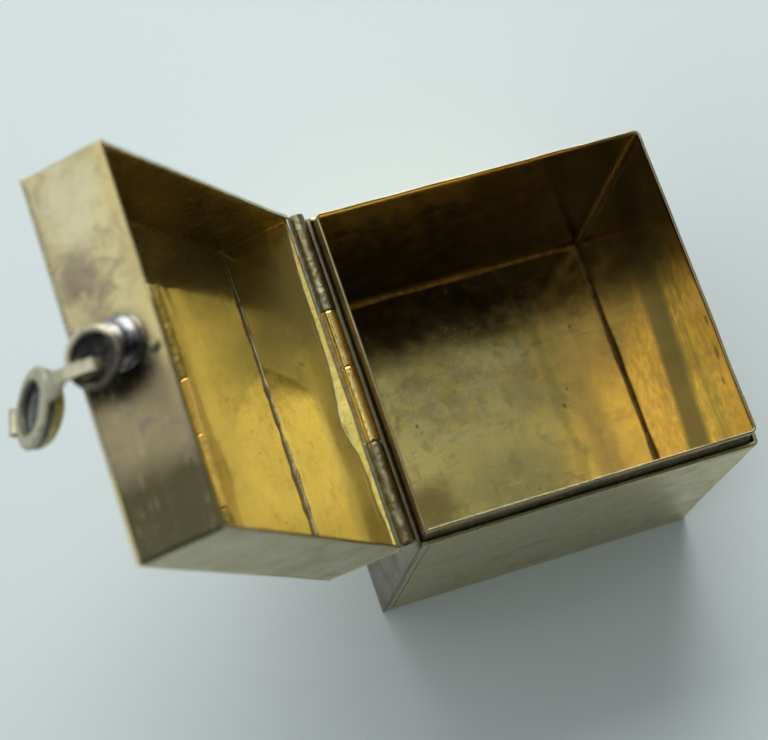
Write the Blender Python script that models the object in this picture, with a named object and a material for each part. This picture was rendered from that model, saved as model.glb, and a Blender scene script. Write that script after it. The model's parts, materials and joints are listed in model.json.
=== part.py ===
"""Small sheet-metal box: hinged lid, raised inner lining, and a drop pull on the lid's front.

Frame: metres, +Z up, origin at the centre of the underside of the floor, front (pull side)
towards -Y, hinge along the back (+Y). All sizes below are in millimetres. The lid and the pull
are modelled in the closed position, then turned about the hinge axis to stand open.
"""
import math

import bmesh
import bpy
from mathutils import Matrix, Vector

for old_object in list(bpy.data.objects):
    bpy.data.objects.remove(old_object, do_unlink=True)

MM = 0.001            # metres in a millimetre

# ---------------------------------------------------------------- driving dimensions
WIDTH = 78.0          # left to right
DEPTH = 80.0          # front to back
WALL_H = 65.0         # outer walls of the box
SHEET = 0.9           # gauge of the outer sheets
GAP = 0.06            # left between neighbouring pieces
X_LEFT, X_RIGHT = -WIDTH / 2, WIDTH / 2
Y_FRONT, Y_BACK = -DEPTH / 2, DEPTH / 2
STRIP_BACK = Y_BACK - SHEET - GAP     # where the three-sided strips stop

FLOOR_CLEAR = 0.1     # floor edge to outer walls
LINING_INSET = 1.3    # lining behind the outer faces of the front, right and back walls
LINING_LEFT = X_LEFT + 1.75
LINING_T = 0.55
LINING_UP = 5.3       # lining stands this much above the outer walls
LINING_FRONT_R, LINING_BACK_R = 1.5, 0.9    # outer corner radii

LID_W = 78.8
LID_SHIFT = 0.7       # the lid sits a little to the right on its worn hinge
LID_H = 18.65
LID_GAP = 0.25        # rim to wall top, closed
LID_LEFT, LID_RIGHT = LID_SHIFT - LID_W / 2, LID_SHIFT + LID_W / 2
LID_RIM_Z = WALL_H + LID_GAP
LID_TOP_Z = LID_RIM_Z + LID_H
OPEN_DEG = 122.76     # how far the lid stands open

AXIS_OUT = 2.1        # hinge axis behind the back wall
AXIS_Y = Y_BACK + AXIS_OUT
AXIS_Z = WALL_H
BARREL_R = 1.95
BORE_R = 1.12
PIN_R = 1.07
# knuckle ends along X
NEAR_X0, NEAR_X1 = -37.4, -14.45
LONG_X0, LONG_X1 = -14.25, 3.2
SHORT_X0, SHORT_X1 = 3.28, 16.55
FAR_X0, FAR_X1 = 16.75, 40.1

# pull: collar on the lid's front wall, oblique cup with a round rim (the eye), hooked drop
COLLAR_X, COLLAR_Z = 1.25, 73.45
COLLAR_BORE_R = 1.34
SHANK_HOLE_R = 1.32
SHANK_R = 1.22
EYE_X, EYE_Z = -1.2, 76.4
EYE_OUT = 6.2         # rim's plane in front of the wall
EYE_R, EYE_WIRE_R = 5.35, 0.8
DROP_X = -2.6         # where the hook rides on the rim
DROP_Z = EYE_Z + math.sqrt(EYE_R ** 2 - (DROP_X - EYE_X) ** 2)
HOOK_IN_R = 1.6       # inner radius of the hook round the rim
HOOK_CROWN_R = 2.95   # outer radius where the strap joins

HINGE = (0.0, AXIS_Y, AXIS_Z)
PIVOT = (DROP_X, Y_FRONT - EYE_OUT, DROP_Z)
OUTWARD = (0, -1, 0)
INWARD = (0, 1, 0)


# ---------------------------------------------------------------- materials
def metal(name, colour, roughness):
    mat = bpy.data.materials.new(name)
    mat.use_nodes = True
    shader = mat.node_tree.nodes["Principled BSDF"]
    shader.inputs["Base Color"].default_value = (*colour, 1)
    shader.inputs["Roughness"].default_value = roughness
    shader.inputs["Metallic"].default_value = 1.0
    mat.diffuse_color = (*colour, 1)
    return mat


SILVER = metal("tarnished_silver", colour=(0.42, 0.41, 0.34), roughness=0.38)
GILT = metal("gilt", colour=(0.72, 0.52, 0.20), roughness=0.22)
BRONZE = metal("dark_bronze", colour=(0.16, 0.13, 0.10), roughness=0.45)
SOLDER = metal("solder", colour=(0.62, 0.50, 0.34), roughness=0.5)
BRIGHT = metal("bright_silver", colour=(0.66, 0.65, 0.63), roughness=0.22)
STEEL = metal("pin_wire", colour=(0.25, 0.23, 0.2), roughness=0.4)
PALE = metal("pale_gilt", colour=(0.60, 0.56, 0.42), roughness=0.35)


# ---------------------------------------------------------------- objects
# A frame is (parent object, its place in the closed position).
BODY = (None, (0, 0, 0))


def moving_frame(name, place, frame, turn=0.0):
    """Empty that carries moving pieces, turned about X; returned as a frame."""
    parent, parent_place = frame
    obj = bpy.data.objects.new(name, None)
    obj.empty_display_size = 0.01
    obj.location = (Vector(place) - Vector(parent_place)) * MM
    obj.rotation_euler = (turn, 0, 0)
    bpy.context.scene.collection.objects.link(obj)
    obj.parent = parent
    return obj, place


LID = moving_frame("lid_hinge", HINGE, BODY, turn=-math.radians(OPEN_DEG))
DROP = moving_frame("drop_pivot", PIVOT, LID)


def shade(mesh, sharp_deg):
    mesh.shade_smooth()
    mesh.set_sharp_from_angle(angle=math.radians(sharp_deg))


def finish(bm, name, mat, frame=BODY, sharp_deg=40):
    """Object from a bmesh in millimetres in the closed position, with its origin at the frame."""
    parent, origin = frame
    bmesh.ops.remove_doubles(bm, verts=bm.verts, dist=1e-5)
    bmesh.ops.recalc_face_normals(bm, faces=bm.faces)
    bmesh.ops.translate(bm, verts=bm.verts, vec=-Vector(origin))
    bmesh.ops.scale(bm, verts=bm.verts, vec=(MM, MM, MM))
    mesh = bpy.data.meshes.new(name)
    bm.to_mesh(mesh)
    bm.free()
    mesh.materials.append(mat)
    shade(mesh, sharp_deg)
    obj = bpy.data.objects.new(name, mesh)
    bpy.context.scene.collection.objects.link(obj)
    obj.parent = parent
    return obj


def soften(obj, width, angle_deg):
    """Narrow bevel modifier on edges sharper than angle_deg."""
    bevel = obj.modifiers.new("soft_edges", "BEVEL")
    bevel.width = width * MM
    bevel.segments = 1
    bevel.limit_method = "ANGLE"
    bevel.angle_limit = math.radians(angle_deg)


def boolean(obj, cutter, operation):
    """Applies a Boolean with an object that is then removed."""
    mod = obj.modifiers.new(operation.lower(), "BOOLEAN")
    mod.operation = operation
    mod.solver = "EXACT"
    mod.object = cutter
    graph = bpy.context.evaluated_depsgraph_get()
    graph.update()
    new_mesh = bpy.data.meshes.new_from_object(obj.evaluated_get(graph))
    obj.modifiers.clear()
    old_mesh = obj.data
    new_mesh.name = old_mesh.name
    obj.data = new_mesh
    bpy.data.meshes.remove(old_mesh)
    bpy.data.objects.remove(cutter, do_unlink=True)
    shade(obj.data, 40)


# ---------------------------------------------------------------- solids
def add_ring(bm, points):
    return [bm.verts.new(point) for point in points]


def join_rings(bm, rings, closed=False):
    """Skins successive rings of vertices; a ring of one vertex is a pole."""
    pairs = list(zip(rings, rings[1:]))
    if closed:
        pairs.append((rings[-1], rings[0]))
    count = max(len(ring) for ring in rings)
    for a, b in pairs:
        for i in range(count):
            j = (i + 1) % count
            if len(a) == 1:
                bm.faces.new((a[0], b[j], b[i]))
            elif len(b) == 1:
                bm.faces.new((a[i], a[j], b[0]))
            else:
                bm.faces.new((a[i], a[j], b[j], b[i]))


def block(low, high, bevel=0.0):
    """Box between two opposite corners, with all edges bevelled."""
    bm = bmesh.new()
    verts = bmesh.ops.create_cube(bm, size=1.0)["verts"]
    bmesh.ops.scale(bm, verts=verts, vec=[h - l for l, h in zip(low, high)])
    bmesh.ops.translate(bm, verts=verts, vec=[(h + l) / 2 for l, h in zip(low, high)])
    if bevel:
        bmesh.ops.bevel(bm, geom=list(bm.edges), offset=bevel, segments=1, profile=0.5,
                        affect="EDGES", clamp_overlap=True)
    return bm


def polar(radius, degrees):
    angle = math.radians(degrees)
    return radius * math.cos(angle), radius * math.sin(angle)


def circle(radius, count, x=0.0, y=0.0):
    return [(x + radius * math.cos(2 * math.pi * k / count),
             y + radius * math.sin(2 * math.pi * k / count)) for k in range(count)]


def corner(x, y, radius, start_deg, end_deg):
    """Arc of a rounded corner, centred on x, y."""
    steps = 6
    arc = [polar(radius, start_deg + (end_deg - start_deg) * i / steps) for i in range(steps + 1)]
    return [(x + dx, y + dy) for dx, dy in arc]


def bent_strip(x0, x1, bend_r, z0, z1):
    """Sheet bent round three sides: left, front and right, open at the back."""
    left, right, front = x0 + bend_r, x1 - bend_r, Y_FRONT + bend_r
    inner_r = bend_r - SHEET
    outline = [(x0, STRIP_BACK)]
    outline += corner(left, front, bend_r, 180, 270)
    outline += corner(right, front, bend_r, 270, 360)
    outline += [(x1, STRIP_BACK), (x1 - SHEET, STRIP_BACK)]
    outline += corner(right, front, inner_r, 360, 270)
    outline += corner(left, front, inner_r, 270, 180)
    outline += [(x0 + SHEET, STRIP_BACK)]
    bm = bmesh.new()
    low = add_ring(bm, [(x, y, z0) for x, y in outline])
    high = add_ring(bm, [(x, y, z1) for x, y in outline])
    bm.faces.new(low[::-1])
    bm.faces.new(high)
    join_rings(bm, (low, high))
    return bm


def lathe(profile, segments=48):
    """Solid turned about +Z from (radius, height) pairs, closed on itself or on the axis."""
    bm = bmesh.new()
    rings = []
    for radius, z in profile:
        points = [(0, 0)] if radius < 1e-6 else circle(radius, segments)
        rings.append(add_ring(bm, [(x, y, z) for x, y in points]))
    join_rings(bm, rings, closed=len(rings[0]) > 1 and len(rings[-1]) > 1)
    return bm


def along(bm, start, direction):
    """Turns a solid made about +Z to stand on start, pointing along direction."""
    turn = Vector((0, 0, 1)).rotation_difference(Vector(direction).normalized())
    matrix = Matrix.Translation(start) @ turn.to_matrix().to_4x4()
    bmesh.ops.transform(bm, matrix=matrix, verts=bm.verts)
    return bm


def along_x(bm, start):
    """Lays a solid made about +Z along +X, from start."""
    matrix = Matrix.Translation(start) @ Matrix.Rotation(math.pi / 2, 4, "Y")
    bmesh.ops.transform(bm, matrix=matrix, verts=bm.verts)
    return bm


def sweep(stations):
    """Capped skin over stations: (point, axis a, axis b, section of (a, b) pairs)."""
    bm = bmesh.new()
    rings = []
    for point, axis_a, axis_b, section in stations:
        rings.append(add_ring(bm, [Vector(point) + Vector(axis_a) * a + Vector(axis_b) * b
                                   for a, b in section]))
    join_rings(bm, rings)
    bm.faces.new(rings[0][::-1])
    bm.faces.new(rings[-1])
    return bm


# ---------------------------------------------------------------- box
def box_floor():
    inset = SHEET + FLOOR_CLEAR
    low = (X_LEFT + inset, Y_FRONT + inset, 0.0)
    high = (X_RIGHT - inset, Y_BACK - inset, SHEET)
    finish(block(low, high, bevel=0.12), "box_floor", GILT)


def box_walls():
    wrap = finish(bent_strip(X_LEFT, X_RIGHT, 1.3, 0.0, WALL_H), "box_wrap", SILVER)
    soften(wrap, width=0.12, angle_deg=50)
    back = block((X_LEFT, Y_BACK - SHEET, 0.0), (X_RIGHT, Y_BACK, WALL_H), bevel=0.12)
    finish(back, "box_back_plate", SILVER)


def lining_bounds(inset):
    """x0, x1, y0, y1 of the lining's outer faces, moved inwards by inset."""
    edge = LINING_INSET + inset
    return LINING_LEFT + inset, X_RIGHT - edge, Y_FRONT + edge, Y_BACK - edge


def lining_outline(inset):
    x0, x1, y0, y1 = lining_bounds(inset)
    front_r, back_r = LINING_FRONT_R - inset, LINING_BACK_R - inset
    return (corner(x0 + front_r, y0 + front_r, front_r, 180, 270)
            + corner(x1 - front_r, y0 + front_r, front_r, 270, 360)
            + corner(x1 - back_r, y1 - back_r, back_r, 0, 90)
            + corner(x0 + back_r, y1 - back_r, back_r, 90, 180))


def inner_lining():
    z0, z1 = SHEET + GAP, WALL_H + LINING_UP
    outer, inner = lining_outline(0.0), lining_outline(LINING_T)
    bm = bmesh.new()
    rings = [add_ring(bm, [(x, y, z) for x, y in outline])
             for outline, z in ((outer, z0), (outer, z1), (inner, z1), (inner, z0))]
    join_rings(bm, rings, closed=True)
    soften(finish(bm, "inner_lining", GILT), width=0.08, angle_deg=60)


def lining_floor_solder():
    """Closed bead of uneven size in the angle between floor and lining."""
    steps = 14                           # per side
    least, wander = 0.55, 0.5            # bead size and how much it grows
    front_shift, back_shift = 0.4, 0.2   # bead's corners kept clear of the lining's bends
    x0, x1, y0, y1 = lining_bounds(LINING_T + GAP)
    z = SHEET + GAP
    # start, end, inward direction
    sides = (
        ((x0, y0), (x1, y0), (0, 1)),
        ((x1, y0), (x1, y1), (-1, 0)),
        ((x1, y1), (x0, y1), (0, -1)),
        ((x0, y1), (x0, y0), (1, 0)),
    )
    bm = bmesh.new()
    rings = []
    for side, (start, end, (in_x, in_y)) in enumerate(sides):
        before_x, before_y = sides[side - 1][2]
        for step in range(steps):
            t = step / steps
            x = start[0] + (end[0] - start[0]) * t
            y = start[1] + (end[1] - start[1]) * t
            dx, dy = in_x, in_y
            if step == 0:
                dx, dy = in_x + before_x, in_y + before_y
                shift = front_shift if y < 0 else back_shift
                x, y = x + shift * dx, y + shift * dy
            k = side * steps + step
            size = least + wander * (0.5 + 0.5 * math.sin(k * 1.7) * math.cos(k * 0.61 + 1.0))
            # inward and upward, as shares of the bead's size
            section = ((0, 0), (1, 0), (0.34, 0.42), (0, 1.05))
            rings.append(add_ring(bm, [(x + dx * size * a, y + dy * size * a, z + size * b)
                                       for a, b in section]))
    join_rings(bm, rings, closed=True)
    finish(bm, "lining_floor_solder", SOLDER, sharp_deg=60)


# ---------------------------------------------------------------- hinge
def knuckle(name, x0, x1, mat, frame):
    """Hinge tube with chamfered outer ends."""
    chamfer = 0.15
    profile = [(BARREL_R - chamfer, x0), (BARREL_R, x0 + chamfer), (BARREL_R, x1 - chamfer),
               (BARREL_R - chamfer, x1), (BORE_R, x1), (BORE_R, x0)]
    finish(along_x(lathe(profile), (0, AXIS_Y, AXIS_Z)), name, mat, frame)


def hinge_pin():
    x0, x1, chamfer = NEAR_X0 + 0.9, FAR_X1 - 0.5, 0.25
    profile = [(0, x0), (PIN_R - chamfer, x0), (PIN_R, x0 + chamfer),
               (PIN_R, x1 - chamfer), (PIN_R - chamfer, x1), (0, x1)]
    finish(along_x(lathe(profile), (0, AXIS_Y, AXIS_Z)), "hinge_pin", STEEL)


def hinge_solder(x0, x1, z_sign, steps, phase):
    """Solder fillet between the barrel and a back plate, above (+1) or below (-1) the axis.

    The section is a wedge: one side on the wall, one side round the barrel, and a slanting
    outer side. Section axes: out of the wall is negative a, away from the hinge axis is b.
    """
    clear = 0.07
    reach = 3.1                   # greatest height up the wall
    radius = BARREL_R + clear
    stations = []
    for k in range(steps + 1):
        t = k / steps
        taper = min(1.0, 0.45 + 3.2 * min(t, 1 - t))
        height = reach * (0.88 + 0.12 * math.sin(k * 1.9 + phase)) * taper
        # round the barrel, from the narrow throat outwards
        arc = [polar(radius, 14 + 52 * taper * i / 4) for i in range(5)]
        section = [(-AXIS_OUT + a, b) for a, b in arc]
        throat_b = section[0][1]
        end_a, end_b = section[-1]
        tip_a, tip_b = -clear, max(end_b + 0.3, height)
        section += [(end_a * 0.45 + tip_a * 0.55, end_b * 0.7 + tip_b * 0.3),
                    (tip_a, tip_b), (-clear, throat_b)]
        point = (x0 + (x1 - x0) * t, Y_BACK, AXIS_Z)
        stations.append((point, (0, -1, 0), (0, 0, z_sign), section))
    return sweep(stations)


def hinge():
    knuckle("hinge_knuckle_near", NEAR_X0, NEAR_X1, BRONZE, BODY)
    knuckle("hinge_knuckle_far", FAR_X0, FAR_X1, BRONZE, BODY)
    hinge_pin()
    knuckle("lid_knuckle_long", LONG_X0, LONG_X1, GILT, LID)
    knuckle("lid_knuckle_short", SHORT_X0, SHORT_X1, GILT, LID)
    # name, x0, x1, side of the axis, steps, phase, material, frame
    beads = (
        ("hinge_solder_near", NEAR_X0 + 0.4, NEAR_X1 - 0.3, -1, 10, 0.3, BRONZE, BODY),
        ("hinge_solder_far", FAR_X0 + 0.3, X_RIGHT - 0.4, -1, 10, 1.4, BRONZE, BODY),
        ("hinge_solder_lid", LONG_X0 + 0.3, SHORT_X1 - 0.3, 1, 14, 2.2, SOLDER, LID),
    )
    for name, x0, x1, z_sign, steps, phase, mat, frame in beads:
        finish(hinge_solder(x0, x1, z_sign, steps, phase), name, mat, frame, sharp_deg=60)


# ---------------------------------------------------------------- lid
def lid_plates():
    wall_top = LID_TOP_Z - SHEET - GAP
    top = block((LID_LEFT, Y_FRONT, LID_TOP_Z - SHEET), (LID_RIGHT, Y_BACK, LID_TOP_Z), bevel=0.2)
    finish(top, "lid_top_plate", GILT, LID)

    wrap = finish(bent_strip(LID_LEFT, LID_RIGHT, 1.2, LID_RIM_Z, wall_top),
                  "lid_wrap", SILVER, LID)
    drill = lathe([(0, 0), (SHANK_HOLE_R, 0), (SHANK_HOLE_R, 4), (0, 4)], 24)
    along(drill, (COLLAR_X, Y_FRONT - 1.5, COLLAR_Z), INWARD)
    boolean(wrap, finish(drill, "shank_hole", SILVER, LID), "DIFFERENCE")
    soften(wrap, width=0.1, angle_deg=50)

    # the back plate stops a little short so that it clears the hinge tubes
    tube_clear = 1.0
    back = block((LID_LEFT, Y_BACK - SHEET, LID_RIM_Z + tube_clear),
                 (LID_RIGHT, Y_BACK, wall_top), bevel=0.1)
    finish(back, "lid_back_plate", SILVER, LID)


def lid_seam_solder():
    """Rough bead inside the lid, in the angle of back plate and top plate, thinning to the right."""
    steps, end_clear = 30, 0.12
    x0, x1 = LID_LEFT + SHEET + end_clear, LID_RIGHT - SHEET - end_clear
    # forwards and downwards, as shares of the bead's size
    shape = ((0, 0), (1, 0), (0.78, 0.38), (0.4, 0.74), (0, 0.95))
    stations = []
    for k in range(steps + 1):
        t = k / steps
        ripple = 0.9 + 0.16 * math.sin(k * 2.3) + 0.1 * math.sin(k * 0.83 + 0.6)
        size = (1.15 - 0.45 * t) * ripple
        point = (x0 + (x1 - x0) * t, Y_BACK - SHEET - GAP, LID_TOP_Z - SHEET - GAP)
        section = [(size * a, size * b) for a, b in shape]
        stations.append((point, (0, -1, 0), (0, 0, -1), section))
    finish(sweep(stations), "lid_seam_solder", SOLDER, LID, sharp_deg=60)


# ---------------------------------------------------------------- pull, fixed to the lid's front
# Turned profiles are (radius, distance from the start point) pairs.
COLLAR_PROFILE = [
    (5.1, GAP), (5.4, 0.3), (5.4, 0.75), (5.15, 1.0), (4.8, 1.05), (4.75, 1.35),
    (4.95, 1.6), (4.95, 1.95), (4.65, 2.3), (4.1, 2.75), (3.3, 3.2), (2.3, 3.5),
    (1.6, 3.6), (COLLAR_BORE_R, 3.6), (COLLAR_BORE_R, GAP),
]
ROVE_PROFILE = [
    (2.4, 0.0), (2.4, 0.45), (2.25, 0.55), (COLLAR_BORE_R, 0.55), (COLLAR_BORE_R, 0.0),
]
SHANK_PROFILE = [   # negative distances lie inside the lid
    (0, -2.75), (0.9, -2.7), (1.55, -2.35), (1.7, -1.95), (1.7, -1.66),
    (SHANK_R, -1.6), (SHANK_R, 3.9), (0, 4.1),
]
FRONT_BEAD_PROFILE = [
    (0.0, GAP), (1.25, GAP), (1.2, 0.4), (0.95, 0.8), (0.55, 1.05), (0.0, 1.15),
]


def collar_and_rove():
    """Collar outside the wall and a washer-like rove inside it."""
    collar = along(lathe(COLLAR_PROFILE), (COLLAR_X, Y_FRONT, COLLAR_Z), OUTWARD)
    finish(collar, "pull_collar", BRIGHT, LID)
    rove = along(lathe(ROVE_PROFILE, 32), (COLLAR_X, Y_FRONT + SHEET + GAP, COLLAR_Z), INWARD)
    finish(rove, "pull_rove", PALE, LID)


def eye_rim():
    """Round wire ring in a plane parallel to the front wall."""
    ring_count, wire_count = 48, 14
    bm = bmesh.new()
    rings = []
    for i in range(ring_count):
        angle = 2 * math.pi * i / ring_count
        rings.append(add_ring(bm, [
            (EYE_X + (EYE_R + dr) * math.cos(angle),
             Y_FRONT - EYE_OUT - out,
             EYE_Z + (EYE_R + dr) * math.sin(angle))
            for dr, out in circle(EYE_WIRE_R, wire_count)]))
    join_rings(bm, rings, closed=True)
    return bm


def bowl():
    """Bowl of circles that widen and shift from the collar's axis to the rim's axis."""
    steps, segments = 8, 48
    foot_r, mouth_r = 2.3, EYE_R + 0.3
    foot_out = 3.72               # foot in front of the wall
    wall, bottom = 0.62, 0.55     # thicknesses
    outside, inside = [], []      # centre x, centre z, radius, distance out
    for k in range(steps + 1):
        t = k / steps
        slide = t * t * (3 - 2 * t)
        x = COLLAR_X + (EYE_X - COLLAR_X) * slide
        z = COLLAR_Z + (EYE_Z - COLLAR_Z) * slide
        radius = foot_r + (mouth_r - foot_r) * math.sin(math.pi / 2 * t) ** 0.9
        rise = EYE_OUT - foot_out
        outside.append((x, z, radius, foot_out + rise * t))
        if k:
            inside.append((x, z, radius - wall, foot_out + bottom + (rise - bottom) * t))
    bm = bmesh.new()
    rings = [add_ring(bm, [(x, Y_FRONT - out, z) for x, z in circle(radius, segments, cx, cz)])
             for cx, cz, radius, out in outside + inside[::-1]]
    join_rings(bm, rings)
    bm.faces.new(rings[0])
    bm.faces.new(rings[-1])
    return bm


def pull_eye():
    """Rim, slotted bowl, and a shank through the wall with its end clenched inside."""
    eye = finish(eye_rim(), "pull_eye", PALE, LID, sharp_deg=60)
    shell = finish(bowl(), "bowl", PALE, LID)
    slot_half = 1.75
    slot = block((DROP_X - slot_half, Y_FRONT - 7.5, DROP_Z - 6.1),
                 (DROP_X + slot_half, Y_FRONT - 2.6, DROP_Z + 2.5))
    boolean(shell, finish(slot, "slot", PALE, LID), "DIFFERENCE")
    boolean(eye, shell, "UNION")
    shank = along(lathe(SHANK_PROFILE, 24), (COLLAR_X, Y_FRONT, COLLAR_Z), OUTWARD)
    boolean(eye, finish(shank, "shank", PALE, LID), "UNION")


def front_bead():
    """Small bead on the front wall by the lid's rim."""
    bead = along(lathe(FRONT_BEAD_PROFILE, 24), (-1.95, Y_FRONT, 67.3), OUTWARD)
    finish(bead, "front_bead", BRONZE, LID)


# ---------------------------------------------------------------- drop
# Plane (a, o) through the pivot: a runs towards the lid's top (+Z), o out from the wall (-Y).
# outer side of the hook, from the nose round to the strap: radius, degrees from a towards o
HOOK_OUTER = [
    (2.15, 236), (2.75, 224), (3.35, 210), (4.2, 196), (5.0, 186), (5.35, 178), (5.3, 171),
    (4.85, 164), (4.1, 154), (3.5, 140), (3.15, 122), (2.98, 104),
    (HOOK_CROWN_R, 86), (HOOK_CROWN_R, 70),
]
HOOK_HALF_W = 1.25

END_A, END_O, END_X = 14.9, -7.4, 0.8   # centre of the ring-shaped end's face from the pivot
END_R, END_HOLE_R = 8.0, 4.85
END_T = 1.7
FACE_TILT = math.radians(34)   # the face looks out, and by this much towards the lid's top
TWIST = math.radians(16)       # turn of the end about the drop's own length

# (radius, height over the face)
RING_PROFILE = [
    (END_HOLE_R, -END_T), (END_R - 0.5, -END_T), (END_R, -END_T + 0.45), (END_R + 0.05, -0.8),
    (END_R - 0.25, -0.32), (END_R - 0.9, -0.06), (END_R - 1.6, 0.0),
    (END_HOLE_R + 0.7, -0.08), (END_HOLE_R + 0.2, -0.3), (END_HOLE_R, -0.7),
]
# (radius, depth behind the disc's front)
DISH_PROFILE = [
    (0, 4.2), (2.6, 4.08), (4.7, 3.6), (6.3, 2.75), (7.3, 1.7), (7.7, 0.6),
    (7.5, 0), (4.6, 0), (4.3, 0.35), (0, 0.5),
]
# (radius, place along the tube)
TIP_PROFILE = [(1.0, -2.6), (1.05, -2.5), (1.05, 2.5), (1.0, 2.6), (0.45, 2.6), (0.45, -2.6)]


def direction(a, o, x=0.0):
    return Vector((x, -o, a))


def place(a, o, x=0.0):
    return Vector(PIVOT) + direction(a, o, x)


# the end's axes: along the drop and out of its face, first in the (a, o) plane
LENGTHWISE = Vector((math.cos(FACE_TILT), -math.sin(FACE_TILT)))
FACE_NORMAL = Vector((math.sin(FACE_TILT), math.cos(FACE_TILT)))
END_LENGTH = direction(*LENGTHWISE)
END_NORMAL = Matrix.Rotation(TWIST, 3, END_LENGTH) @ direction(*FACE_NORMAL)
END_BASIS = Matrix((END_LENGTH.cross(END_NORMAL).normalized(), END_LENGTH, END_NORMAL))
END_MATRIX = Matrix.Translation(place(END_A, END_O, END_X)) @ END_BASIS.transposed().to_4x4()


def on_end(bm):
    """Moves a solid made about +Z onto the ring-shaped end."""
    bmesh.ops.transform(bm, matrix=END_MATRIX, verts=bm.verts)
    return bm


def hook():
    """Hook cut from the plane and given width across X, its outer edges rounded."""
    outline = [polar(HOOK_IN_R, degrees) for degrees in range(70, 236, 11)]
    outline += [polar(radius, degrees) for radius, degrees in HOOK_OUTER]
    bm = bmesh.new()
    left = add_ring(bm, [place(a, o, -HOOK_HALF_W) for a, o in outline])
    right = add_ring(bm, [place(a, o, HOOK_HALF_W) for a, o in outline])
    bm.faces.new(left)
    bm.faces.new(right[::-1])
    join_rings(bm, (left, right))
    bmesh.ops.recalc_face_normals(bm, faces=bm.faces)
    rounded = []
    for edge in bm.edges:
        start, end = (vert.co for vert in edge.verts)
        on_one_side = abs(start.x - end.x) < 1e-4
        if on_one_side and (start - place(0, 0, start.x - DROP_X)).length > HOOK_IN_R:
            rounded.append(edge)
    bmesh.ops.bevel(bm, geom=rounded, offset=0.5, segments=2, profile=0.5,
                    affect="EDGES", clamp_overlap=True)
    return bm


def superellipse(half_a, half_b):
    power, count = 3.0, 20
    points = []
    for k in range(count):
        angle = 2 * math.pi * (k + 0.5) / count
        c, s = math.cos(angle), math.sin(angle)
        points.append((half_a * math.copysign(abs(c) ** (2 / power), c),
                       half_b * math.copysign(abs(s) ** (2 / power), s)))
    return points


def strap():
    """Swan-necked bar from the hook to the ring-shaped end, on a Bezier curve."""
    steps = 14
    neck_half, full_half = 1.32, 2.65      # half widths
    p0 = Vector(polar((HOOK_IN_R + HOOK_CROWN_R) / 2, 78))
    p3 = Vector((END_A, END_O)) - LENGTHWISE * (END_R - 1.6) - FACE_NORMAL * END_T / 2
    p1 = p0 + Vector(polar(1, -8)) * 3.6
    p2 = p3 - LENGTHWISE * 2.4
    stations = []
    for k in range(steps + 1):
        t = k / steps
        u = 1 - t
        point = p0 * u ** 3 + 3 * p1 * t * u ** 2 + 3 * p2 * t * t * u + p3 * t ** 3
        tangent = 3 * (p1 - p0) * u ** 2 + 6 * (p2 - p1) * t * u + 3 * (p3 - p2) * t * t
        tangent.normalize()
        ease = t * t * (3 - 2 * t)
        widening = min(1.0, max(0.0, (t - 0.05) / 0.35)) ** 0.8
        half_width = neck_half + (full_half - neck_half) * widening
        half_thick = (0.8 + 0.08 * math.sin(math.pi * t)) * (1 - 0.22 * t ** 4)
        twist = Matrix.Rotation(TWIST * ease, 3, direction(*tangent))
        stations.append((place(*point, END_X * ease),
                         twist @ Vector((1, 0, 0)),
                         twist @ direction(-tangent.y, tangent.x),
                         superellipse(half_width, half_thick)))
    return sweep(stations)


def pull_drop():
    """Hook, strap, ring with a rolled lip, and a small cross tube at the tip, all in one."""
    drop = finish(hook(), "pull_drop", PALE, DROP, sharp_deg=50)
    boolean(drop, finish(strap(), "strap", PALE, DROP), "UNION")
    ring = on_end(lathe(RING_PROFILE, 56))
    boolean(drop, finish(ring, "ring", PALE, DROP), "UNION")
    tip = on_end(along_x(lathe(TIP_PROFILE, 24), (0, END_R - 0.35, 0.0)))
    boolean(drop, finish(tip, "tip_tube", PALE, DROP), "UNION")


def pull_drop_back():
    """Dished disc that closes the back of the ring."""
    profile = [(radius, -END_T - GAP - depth) for radius, depth in DISH_PROFILE]
    finish(on_end(lathe(profile, 56)), "pull_drop_back", GILT, DROP)


box_floor()
box_walls()
inner_lining()
lining_floor_solder()
hinge()
lid_plates()
lid_seam_solder()
collar_and_rove()
pull_eye()
front_bead()
pull_drop()
pull_drop_back()
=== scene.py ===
"""Looks for the tabernacle box: fine sheet-metal pieces, procedural metals, pale floor, soft
light and the camera.

The box stands upright with +Z up. Its front wall faces -Y and the hinge runs along X behind the
back wall (+Y). The lid is stored open; its pieces are measured, shaped and coloured as if it
were shut, then swung back. "Near" is the -X end, "far" the +X end.
Shapes and material patterns are in millimetres; stage, light and camera are in metres.
"""
import json
import math
from functools import cached_property

import bmesh
import bpy
import numpy as np
from mathutils import Matrix, Vector, noise


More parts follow.
